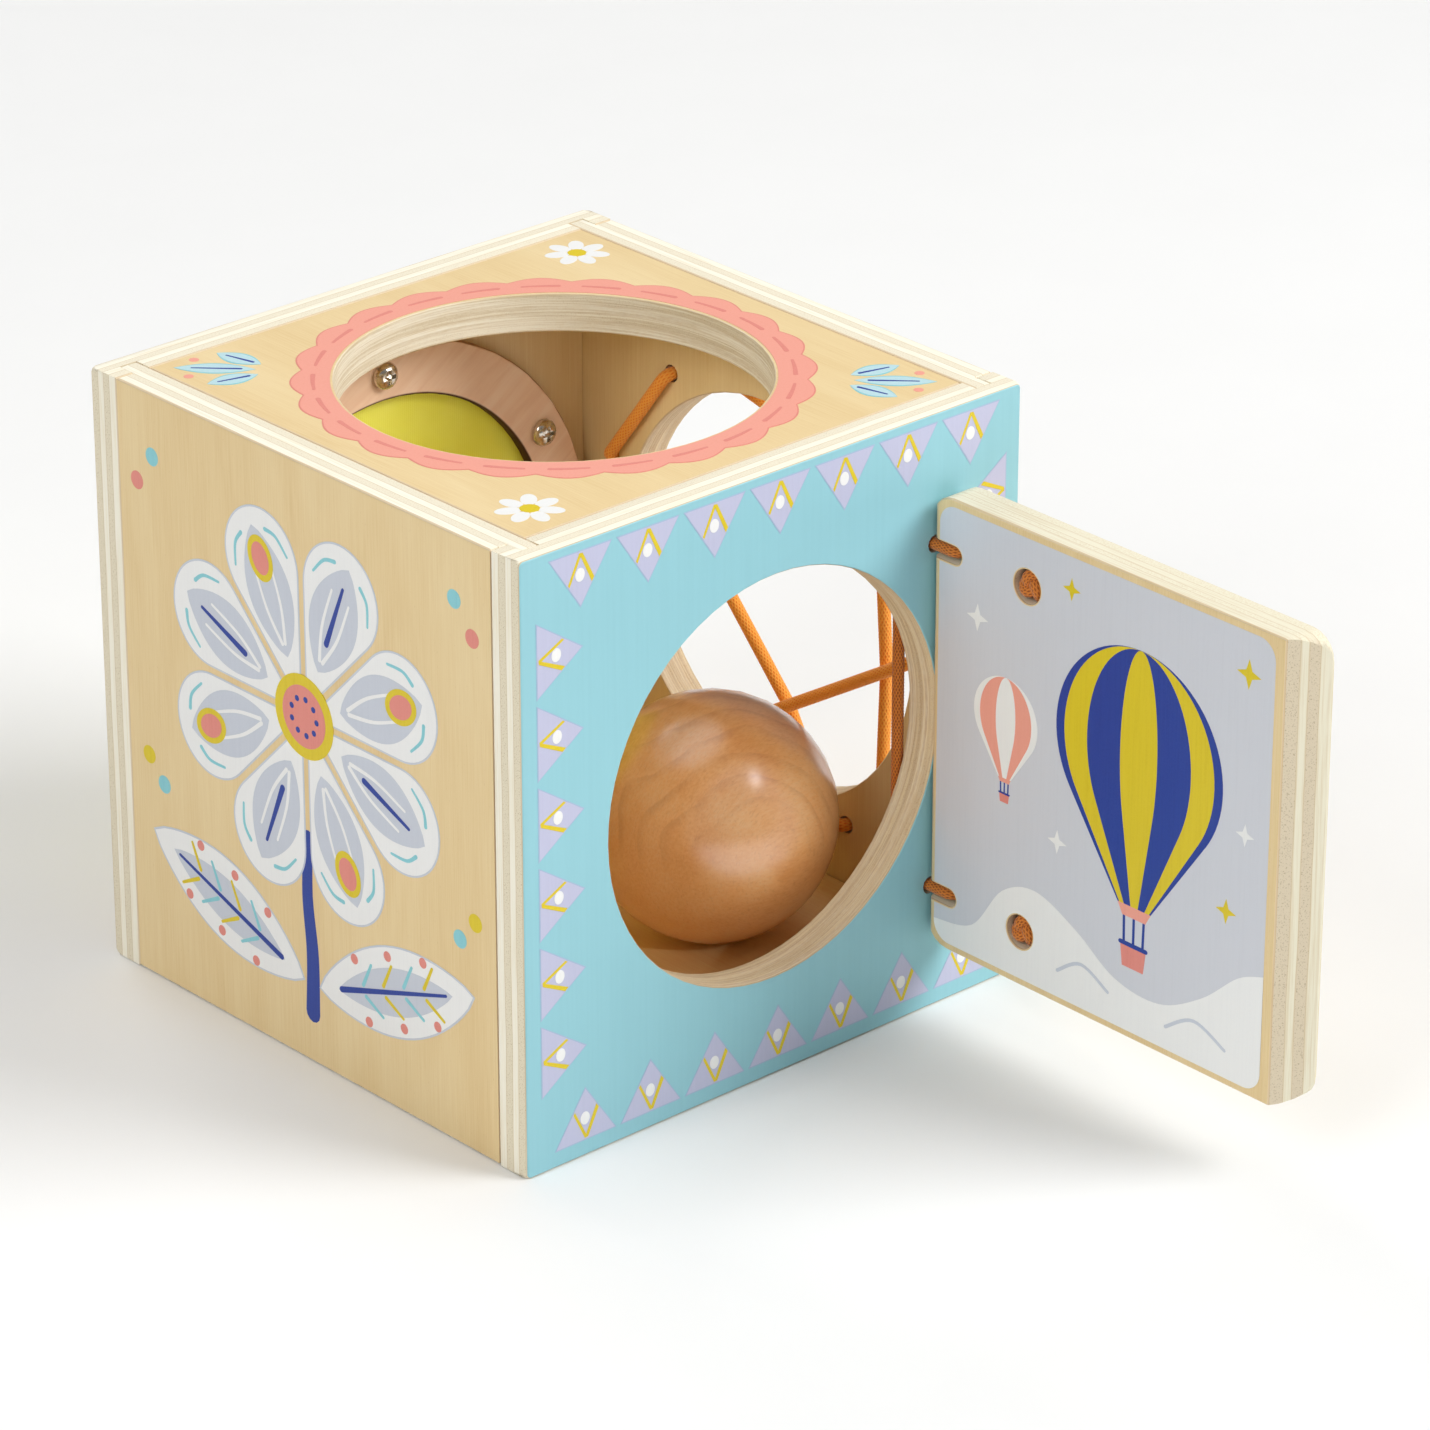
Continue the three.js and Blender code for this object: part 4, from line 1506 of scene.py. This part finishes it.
@dataclass
class Door:
    """The door: its plywood and the print on its inner face."""

    inner_face: float = 43.9
    outer_face: float = 52.9
    hinge_edge: float = -70.5
    bottom: float = 17.0
    top: float = 123.0
    width: float = 101.4
    side_border: float = 2.3
    end_border: float = 1.7
    corner: float = 4.6
    slot_heights: tuple[float, float] = HINGE_CORD_HEIGHTS
    slot_middle: float = 6.8
    slot_half: float = 2.45
    hole_middle: float = 28.5
    hole_radius: float = 4.25

    def foot(self) -> Loop:
        """Draws the print's lower edge.

        Returns:
            The line, with its two round corners.
        """
        turn = self.corner
        left, right = self.side_border + turn, self.width - self.side_border - turn
        up = self.bottom + self.end_border + turn
        return arc((left, up), turn, 180.0, 270.0, steps=8) + arc((right, up), turn, 270.0, 360.0, steps=8)

    def ground(self) -> Loop:
        """Draws the print's outline.

        Returns:
            The loop, with a notch round each slot.
        """
        left, right = self.side_border, self.width - self.side_border
        high = self.top - self.end_border
        turn = self.corner
        loop = self.foot()
        loop += arc((right - turn, high - turn), turn, 0.0, 90.0, steps=8)
        loop += arc((left + turn, high - turn), turn, 90.0, 180.0, steps=8)
        for height in reversed(self.slot_heights):
            loop.append((left, height + self.slot_half))
            loop += arc((self.slot_middle, height), self.slot_half, 90.0, -90.0, steps=12)
            loop.append((left, height - self.slot_half))
        return loop

    def hill(self) -> Loop:
        """Draws the pale hills along the print's foot.

        Returns:
            The loop.
        """
        left, right = self.side_border, self.width - self.side_border
        far_slope = [(right, 46.0), (92.0, 43.0), (82.0, 34.5), (70.0, 28.5), (57.0, 29.5)]
        near_slope = [(45.0, 36.5), (33.0, 41.0), (23.0, 37.5), (14.0, 26.0), (left, 23.4)]
        return self.foot() + smooth_line(far_slope + near_slope)

    def print_inside(self) -> None:
        """Draws the print of balloons, hills and stars."""
        inside = PrintedFace(
            "door_print",
            Vector((self.inner_face, self.hinge_edge, 0.0)),
            Vector((0, -1, 0)),
            Vector((0, 0, 1)),
            Body.DOOR,
        )
        drawing = Drawing(inside)
        middles = [(self.hole_middle, height) for height in self.slot_heights]
        holes = [circle(middle, self.hole_radius, steps=36) for middle in middles]
        drawing.fill(Ink.CLOUD_BLUE, self.ground(), holes)
        drawing.fill(Ink.OFF_WHITE, self.hill(), holes[:1], level=1)
        for line in (
            [(40.0, 25.0), (47.0, 29.0), (55.0, 25.5)],
            [(72.0, 24.0), (80.0, 28.4), (89.0, 25.0)],
        ):
            drawing.fill(Ink.GREY, stroke(smooth_line(line), 0.8, 0.8), level=2)
        Balloon((62.0, 83.0), radius=24.0, inks=(Ink.NAVY, Ink.MUSTARD)).draw(drawing)
        Balloon((23.0, 78.0), radius=9.5, inks=(Ink.OFF_WHITE, Ink.CORAL), gores=5).draw(drawing)
        stars = (
            ((14.0, 98.5), 3.2, Ink.OFF_WHITE),
            ((41.5, 114.0), 2.6, Ink.MUSTARD),
            ((92.0, 112.0), 3.4, Ink.MUSTARD),
            ((92.5, 76.0), 2.6, Ink.OFF_WHITE),
            ((39.0, 55.0), 2.8, Ink.OFF_WHITE),
            ((88.0, 57.0), 2.9, Ink.MUSTARD),
        )
        for place, reach, ink in stars:
            drawing.fill(ink, star(place, reach), level=1)
        drawing.build()

    def dress(self, dresser: CadDresser) -> None:
        """Gives the door its plywood and its print.

        Args:
            dresser: What dresses CAD nodes.
        """
        wood = Plywood(
            "door_birch_ply",
            through=Axis.X,
            outer=self.inner_face,
            inner=self.outer_face,
            grain=Axis.Z,
            joints=(0.35, 2.8, 4.3, 6.3),
            # The edge plies are greyer than the panels', partly their own tone and partly painted shade of
            # the door's dimmer free edge.
            long_grain=tone(234, 228, 205),
            long_streak=tone(223, 211, 182),
            end_grain=tone(217, 203, 177),
            end_pit=tone(182, 165, 135),
            face_ply_end=0.15,
        )
        dresser.dress("door", wood.material())
        self.print_inside()


@dataclass(frozen=True)
class Stop:
    """A corner of a cord's route and the radius of its bend there."""

    x: float
    y: float
    z: float
    bend: float = 2.2

    @property
    def at(self) -> Vector:
        """The corner as a vector."""
        return Vector((self.x, self.y, self.z))


@dataclass(frozen=True)
class CordRoute:
    """A cord's centre line: straight runs joined by round bends."""

    stops: tuple[Stop, ...]

    def rough(self, bend_steps: int = 20) -> list[Vector]:
        """The line as points along its bends.

        Args:
            bend_steps: Number of steps along each bend.

        Returns:
            The points, unevenly spaced.
        """
        points = [self.stops[0].at]
        for before, corner, after in zip(self.stops, self.stops[1:], self.stops[2:]):
            arriving = (corner.at - before.at).normalized()
            leaving = (after.at - corner.at).normalized()
            turn = arriving.angle(leaving)
            reach = corner.bend * math.tan(turn / 2)
            handle = 4 / 3 * math.tan(turn / 4) * corner.bend
            start, end = corner.at - arriving * reach, corner.at + leaving * reach
            first, second = start + arriving * handle, end - leaving * handle
            for step in range(bend_steps + 1):
                t = step / bend_steps
                points.append(
                    start * (1 - t) ** 3
                    + first * (3 * t * (1 - t) ** 2)
                    + second * (3 * t**2 * (1 - t))
                    + end * t**3
                )
        return [*points, self.stops[-1].at]

    def even(self, step: float) -> list[Vector]:
        """The line as points at even distances.

        Args:
            step: The distance between two points.

        Returns:
            The points, from one end to the other.
        """
        rough = self.rough()
        points = [rough[0]]
        left = step
        for a, b in zip(rough, rough[1:]):
            run = (b - a).length
            done = 0.0
            while run - done >= left:
                done += left
                points.append(a.lerp(b, done / run))
                left = step
            left -= run - done
        return [*points, rough[-1]] if (points[-1] - rough[-1]).length > step * 0.3 else points


@dataclass(frozen=True)
class Knot:
    """A pulled-tight knot: its outer radius, its cord's radius and half its centre line's height."""

    outer: float
    radius: float
    rise: float
    steps: int = 110


@dataclass
class CordMesh:
    """Collects braided tubes into one mesh, with each corner's place on its cord."""

    radius: float = 1.5
    sides: int = 16
    step: float = 0.375
    rib: float = 0.035
    vertices: list[Vector] = field(default_factory=list)
    faces: list[tuple[int, ...]] = field(default_factory=list)
    places: list[tuple[float, float, float]] = field(default_factory=list)

    def tube(self, line: list[Vector], radius: float, closed: bool = False) -> None:
        """Adds a ribbed tube along a line.

        Args:
            line: Its centre line at even distances.
            radius: Its radius.
            closed: Whether its end joins its start.
        """
        count = len(line)
        start = len(self.vertices)
        heading = (line[1] - line[0]).normalized()
        spoke = heading.orthogonal().normalized()
        for index, point in enumerate(line):
            before = line[index - 1] if index or closed else point
            after = line[(index + 1) % count] if index + 1 < count or closed else point
            turned = (after - before).normalized()
            spoke = (heading.rotation_difference(turned) @ spoke).normalized()
            heading = turned
            aside = heading.cross(spoke)
            swell = radius + (self.rib if index % 2 else -self.rib)
            for side in range(self.sides):
                angle = 2 * math.pi * side / self.sides
                self.vertices.append(point + (spoke * math.cos(angle) + aside * math.sin(angle)) * swell)
        for index in range(count if closed else count - 1):
            following = (index + 1) % count
            for side in range(self.sides):
                beside = (side + 1) % self.sides
                self.faces.append(
                    (
                        start + index * self.sides + side,
                        start + index * self.sides + beside,
                        start + following * self.sides + beside,
                        start + following * self.sides + side,
                    )
                )
                for turn, along in ((0, 0), (1, 0), (1, 1), (0, 1)):
                    self.places.append(((side + turn) / self.sides, (index + along) * self.step, 0.0))
        if not closed:
            self.cap(start, True)
            self.cap(start + (count - 1) * self.sides, False)

    def cap(self, first: int, reverse: bool) -> None:
        """Closes a tube's end with one face.

        Args:
            first: The number of the end ring's first vertex.
            reverse: Whether the face looks back along the tube.
        """
        ring = [first + side for side in range(self.sides)]
        self.faces.append(tuple(ring[::-1] if reverse else ring))
        self.places += [(side / self.sides, 0.0, 0.0) for side in range(self.sides)]

    def knot(self, middle: Vector, knot: Knot) -> None:
        """Adds a trefoil knot, wound round the X axis.

        Args:
            middle: Its centre.
            knot: Its sizes.
        """
        size = (knot.outer - knot.radius) / 3.0
        line = []
        for step in range(knot.steps):
            t = 2 * math.pi * step / knot.steps
            reach = (2 + math.cos(3 * t)) * size
            turned = Vector((knot.rise * math.sin(3 * t), reach * math.cos(2 * t), reach * math.sin(2 * t)))
            line.append(middle + turned)
        self.tube(line, knot.radius, closed=True)

    def build(self, name: str, material: bpy.types.Material) -> bpy.types.Object:
        """Makes the object.

        Args:
            name: The piece's name.
            material: Its braid.

        Returns:
            The cord, linked to the scene.
        """
        cord = link_mesh(name, self.vertices, self.faces, smooth=True)
        places = cord.data.attributes.new("cord_place", "FLOAT_VECTOR", "CORNER")
        places.data.foreach_set("vector", [number for place in self.places for number in place])
        cord.data.materials.append(material)
        LOG.info("laid %s", name)
        return cord


@dataclass
class HingeCord:
    """The elastic cord that hinges the door: knots in the door, slots, and a run inside the front panel."""

    # A shaded copy of the same orange elastic as the web: its colours are darkened as painted shade.
    braid: BraidedElastic = BraidedElastic(
        "hinge_elastic_braid", lit_ridge=tone(218, 130, 54), shaded_valley=tone(156, 80, 28)
    )
    knot_y: float = -99.0
    slot_y: float = -77.3
    outside_x: float = 54.65
    cord_x: float = 45.3
    inside_y: float = -59.25
    bottom: float = HINGE_CORD_HEIGHTS[0]
    top: float = HINGE_CORD_HEIGHTS[1]
    knot_x: float = 46.4
    radius: float = 1.32
    knot: Knot = Knot(outer=3.95, radius=1.45, rise=1.3)

    def build(self) -> None:
        """Makes the cord."""
        upper = [
            Stop(self.knot_x, self.knot_y, self.top),
            Stop(self.outside_x, self.knot_y, self.top),
            Stop(self.outside_x, self.slot_y, self.top),
            Stop(self.cord_x, self.slot_y, self.top),
            Stop(self.cord_x, self.inside_y, self.top),
        ]
        lower = [Stop(stop.x, stop.y, self.bottom) for stop in upper[::-1]]
        mesh = CordMesh(radius=self.radius)
        mesh.tube(CordRoute((*upper, *lower)).even(mesh.step), mesh.radius)
        for height in (self.top, self.bottom):
            mesh.knot(Vector((self.knot_x, self.knot_y, height)), self.knot)
        cord = mesh.build("hinge_cord_braided", self.braid.material())
        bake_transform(cord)
        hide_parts("hinge_cord")


@dataclass
class WebCord:
    """The elastic cord laced across the right opening."""

    # A lit copy of the same orange elastic as the hinge: its colours are lightened as painted light.
    braid: BraidedElastic = BraidedElastic(
        "web_elastic_braid", lit_ridge=tone(255, 176, 76), shaded_valley=tone(244, 136, 42)
    )
    circle_radius: float = 53.9
    angles: tuple[float, ...] = (112.0, 240.0, 301.0, 176.0, 150.0, 55.0, 20.0, 260.0)
    outer_x: float = 71.75
    inner_x: float = 59.25
    over_x: float = 75.1
    knot_x: float = 58.3
    over_bend: float = 12.0
    knot: Knot = Knot(outer=3.4, radius=1.15, rise=1.2)

    def hole(self, angle: float) -> Vector:
        """A lace hole's place in Y and Z."""
        turn = math.radians(angle)
        return Vector((self.circle_radius * math.cos(turn), MID_HEIGHT + self.circle_radius * math.sin(turn)))

    def crossing(self, first: float, second: float, third: float, fourth: float) -> Stop:
        """Finds where one run of the cord passes over another.

        Args:
            first: The angle of the upper run's first hole.
            second: The angle of its second hole.
            third: The angle of the lower run's first hole.
            fourth: The angle of its second hole.

        Returns:
            The upper run's corner there.
        """
        a, b, c, d = (self.hole(angle) for angle in (first, second, third, fourth))
        share = (c - a).cross(d - c) / (b - a).cross(d - c)
        at = a.lerp(b, share)
        return Stop(self.over_x, at.x, at.y, self.over_bend)

    def stop(self, x: float, angle: float) -> Stop:
        """A corner of the route at a lace hole."""
        at = self.hole(angle)
        return Stop(x, at.x, at.y)

    def build(self) -> None:
        """Makes the laced cord."""
        one, two, three, four, five, six, seven, eight = self.angles
        outer, inner = self.outer_x, self.inner_x
        route = CordRoute(
            (
                self.stop(self.knot_x, one),
                self.stop(outer, one),
                self.crossing(one, two, five, six),
                self.crossing(one, two, three, four),
                self.stop(outer, two),
                self.stop(inner, two),
                self.stop(inner, three),
                self.stop(outer, three),
                self.stop(outer, four),
                self.stop(inner, four),
                self.stop(inner, five),
                self.stop(outer, five),
                self.stop(outer, six),
                self.stop(inner, six),
                self.stop(inner, seven),
                self.stop(outer, seven),
                self.crossing(seven, eight, three, four),
                self.stop(outer, eight),
                self.stop(self.knot_x, eight),
            )
        )
        mesh = CordMesh()
        mesh.tube(route.even(mesh.step), mesh.radius)
        for angle in (one, eight):
            at = self.hole(angle)
            mesh.knot(Vector((self.knot_x, at.x, at.y)), self.knot)
        cord = mesh.build("web_cord_braided", self.braid.material())
        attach(cord, Body.CUBE.value)
        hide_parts("web_cord")


@dataclass
class FabricWindow:
    """The stretched fabric in the back opening, its clamp ring and the ring's screws."""

    radius: float = 57.0
    middle_y: float = 60.6
    thickness: float = 0.6
    clamp_radius: float = 45.6
    belly: float = 0.9
    crease_start: float = 0.3
    rings: int = 44
    sectors: int = 180
    screws: int = 6
    ring_overhang: float = 0.4
    creases: tuple[tuple[float, float, float], ...] = (
        (150.0, 8.0, 0.9),
        (127.0, 6.0, 0.5),
        (96.0, 6.0, 0.3),
        (38.0, 7.0, 0.35),
        (-18.0, 6.0, 0.3),
        (-72.0, 8.0, 0.4),
        (-131.0, 6.0, 0.35),
    )

    def sag(self, reach: float, angle: float) -> float:
        """How far the cloth stands out of its plane.

        Args:
            reach: Distance from the middle.
            angle: Direction in degrees.

        Returns:
            The offset along Y.
        """
        share = min(reach / self.clamp_radius, 1.0)
        out = self.belly * (1 - share**2) ** 1.5
        along = max(0.0, (share - self.crease_start) / (1.0 - self.crease_start))
        window = max(0.0, math.sin(math.pi * along)) ** 1.2
        for centre, spread, depth in self.creases:
            apart = (angle - centre + 180.0) % 360.0 - 180.0
            out -= depth * window * math.exp(-((apart / spread) ** 2))
        return out

    def cloth_mesh(self) -> tuple[list[Vector], list[tuple[int, ...]]]:
        """Makes the points and faces of the fabric.

        Returns:
            The points and the faces of a closed thin sheet.
        """
        vertices: list[Vector] = []
        faces: list[tuple[int, ...]] = []
        layers = []
        for offset in (-self.thickness / 2, self.thickness / 2):
            first = len(vertices)
            layers.append(first)
            vertices.append(Vector((0.0, self.middle_y + self.sag(0.0, 0.0) + offset, MID_HEIGHT)))
            for ring in range(1, self.rings + 1):
                reach = self.radius * ring / self.rings
                for sector in range(self.sectors):
                    angle = 360.0 * sector / self.sectors
                    turn = math.radians(angle)
                    depth = self.middle_y + self.sag(reach, angle) + offset
                    up = MID_HEIGHT + reach * math.sin(turn)
                    vertices.append(Vector((reach * math.cos(turn), depth, up)))
            for sector in range(self.sectors):
                beside = (sector + 1) % self.sectors
                fan = (first, first + 1 + sector, first + 1 + beside)
                faces.append(fan if offset < 0 else fan[::-1])
                for ring in range(self.rings - 1):
                    low = first + 1 + ring * self.sectors
                    high = low + self.sectors
                    quad = (low + sector, high + sector, high + beside, low + beside)
                    faces.append(quad if offset < 0 else quad[::-1])
        rims = [first + 1 + (self.rings - 1) * self.sectors for first in layers]
        for sector in range(self.sectors):
            beside = (sector + 1) % self.sectors
            faces.append((rims[0] + sector, rims[1] + sector, rims[1] + beside, rims[0] + beside))
        return vertices, faces

    def cloth(self) -> None:
        """Makes the fabric."""
        sheet = link_mesh("window_fabric", *self.cloth_mesh(), True)
        sheet.data.materials.append(StretchKnit().material())
        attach(sheet, Body.CUBE.value)
        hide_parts("fabric_membrane")
        LOG.info("stretched %s", sheet.name)

    def dress(self, dresser: CadDresser) -> None:
        """Makes the fabric and dresses the ring and its screws.

        Args:
            dresser: What dresses CAD nodes.
        """
        self.cloth()
        dresser.dress("clamp_ring", RingVeneer(OPENING_RADIUS - self.ring_overhang).material())
        nickel = ScrewNickel().material()
        for index in range(self.screws):
            dresser.dress(f"ring_screw_{index + 1}", nickel)


@dataclass
class LooseBall:
    """The loose wooden ball."""

    centre: tuple[float, float, float] = (22.7, -24.5, 37.2)

    def dress(self, dresser: CadDresser) -> None:
        """Gives the ball its wood.

        Args:
            dresser: What dresses CAD nodes.
        """
        dresser.dress("ball", TurnedWood(self.centre).material())


# Studio


def aimed(
    name: str, tool: bpy.types.Camera | bpy.types.Light, place: Sequence[float], aim: Sequence[float]
) -> bpy.types.Object:
    """Stands a camera or a lamp in the studio.

    Args:
        name: The object's name.
        tool: The camera or the lamp.
        place: Where it stands, in millimetres.
        aim: The point that it faces, in millimetres.

    Returns:
        The object, linked to the scene.
    """
    made = bpy.data.objects.new(name, tool)
    bpy.context.scene.collection.objects.link(made)
    made.location = Vector(place) * MILLIMETRE
    made.rotation_mode = "QUATERNION"
    made.rotation_quaternion = (Vector(aim) - Vector(place)).to_track_quat("-Z", "Y")
    return made


@dataclass(frozen=True)
class Softbox:
    """A large soft lamp, aimed at the object."""

    name: str
    place: tuple[float, float, float]
    size: float
    power: float

    def light(self, aim: Sequence[float]) -> None:
        """Adds the lamp to the scene.

        Args:
            aim: The point that it faces, in millimetres.
        """
        lamp = bpy.data.lights.new(self.name, "AREA")
        lamp.shape = "SQUARE"
        lamp.size = self.size * MILLIMETRE
        lamp.energy = self.power
        aimed(self.name, lamp, self.place, aim)


@dataclass(frozen=True)
class Snoot:
    """A narrow lamp that lights the ball through the front opening, and never the door."""

    place: tuple[float, float, float] = (-60.0, -1250.0, 760.0)
    aim: tuple[float, float, float] = (9.0, -66.0, 62.0)
    beam: float = 2.7
    blend: float = 0.5
    size: float = 8.0
    power: float = 16.0

    def light(self) -> None:
        """Adds the lamp to the scene."""
        lamp = bpy.data.lights.new("inside_snoot", "SPOT")
        lamp.energy = self.power
        lamp.spot_size = math.radians(self.beam)
        lamp.spot_blend = self.blend
        lamp.shadow_soft_size = self.size * MILLIMETRE
        made = aimed("inside_snoot", lamp, self.place, self.aim)
        made.visible_glossy = False
        unlit = bpy.data.collections.new("unlit_by_snoot")
        unlit.objects.link(frame["nodes"]["door"])
        unlit.collection_objects[0].light_linking.link_state = "EXCLUDE"
        made.light_linking.receiver_collection = unlit


@dataclass
class Studio:
    """The camera, the soft light and the pale floor."""

    camera_place: tuple[float, float, float] = (-843.8, -980.0, 669.1)
    camera_aim: tuple[float, float, float] = (22.7, -25.7, 62.0)
    lens: float = 165.56
    sensor: float = 36.0
    clip_metres: tuple[float, float] = (0.01, 50.0)
    floor_half: float = 6000.0
    floor_level: float = -0.2
    paper: tuple[Colour, Colour] = (tone(240, 240, 239), tone(243, 243, 242))
    horizon: float = 0.08
    horizon_end: float = 0.05
    sky: float = 0.22
    sky_start: float = 0.45
    softboxes: tuple[Softbox, ...] = (
        Softbox("key_softbox", place=(1175.0, -1516.0, 1433.0), size=1300.0, power=47.0),
        Softbox("left_softbox", place=(-1830.0, -300.0, 1320.0), size=1200.0, power=20.0),
        Softbox("top_softbox", place=(0.0, -150.0, 2300.0), size=2300.0, power=9.0),
        Softbox("back_softbox", place=(300.0, 1900.0, 1500.0), size=1200.0, power=15.0),
    )

    def camera(self) -> None:
        """Places the camera at the photograph's viewing angle."""
        lens = bpy.data.cameras.new("camera")
        lens.lens = self.lens
        lens.sensor_width = self.sensor
        lens.clip_start, lens.clip_end = self.clip_metres
        bpy.context.scene.camera = aimed("camera", lens, self.camera_place, self.camera_aim)

    def floor(self) -> None:
        """Lays the pale floor under the cube."""
        half, level = self.floor_half, self.floor_level
        sides = ((-half, -half), (half, -half), (half, half), (-half, half))
        corners = [Vector((x, y, level)) for x, y in sides]
        made = link_mesh("studio_floor", corners, [(0, 1, 2, 3)], smooth=False)
        graph = FinishGraph("studio_floor_paper")
        mottle = graph.noise(graph.place(), (0.02,) * 3, detail=3.0)
        colour = graph.mix(mottle, *self.paper)
        made.data.materials.append(graph.surface(colour, roughness=0.9, Specular_IOR_Level=0.1))

    def walls(self) -> None:
        """Surrounds the cube with a pale studio that grows brighter overhead."""
        world = bpy.data.worlds.new("studio_walls")
        world.use_nodes = True
        nodes, links = world.node_tree.nodes, world.node_tree.links
        heading = nodes.new("ShaderNodeTexCoord")
        parts = nodes.new("ShaderNodeSeparateXYZ")
        fade = nodes.new("ShaderNodeMapRange")
        fade.interpolation_type = "SMOOTHSTEP"
        for key, number in (
            ("From Min", self.horizon_end),
            ("From Max", self.sky_start),
            ("To Min", self.horizon),
            ("To Max", self.sky),
        ):
            fade.inputs[key].default_value = number
        background = nodes["Background"]
        background.inputs["Color"].default_value = (1.0, 1.0, 1.0, 1.0)
        links.new(heading.outputs["Generated"], parts.inputs[0])
        links.new(parts.outputs["Z"], fade.inputs["Value"])
        links.new(fade.outputs["Result"], background.inputs["Strength"])
        bpy.context.scene.world = world

    def build(self) -> None:
        """Builds the studio."""
        self.camera()
        self.floor()
        for softbox in self.softboxes:
            softbox.light((0.0, 0.0, MID_HEIGHT))
        Snoot().light()
        self.walls()
        bpy.context.scene.view_settings.view_transform = "Standard"
        LOG.info("lit the studio")


def main() -> None:
    """Builds every sub-assembly."""
    logging.basicConfig(level=logging.INFO, format="%(name)s: %(message)s")
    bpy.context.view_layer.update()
    Studio().build()
    WebCord().build()
    HingeCord().build()
    dresser = CadDresser()
    Carcass().dress(dresser)
    Door().dress(dresser)
    FabricWindow().dress(dresser)
    LooseBall().dress(dresser)
    PennantBorder().build()
    FlowerPrint().build()
    TopPrint().build()


if __name__ == "__main__":
    main()
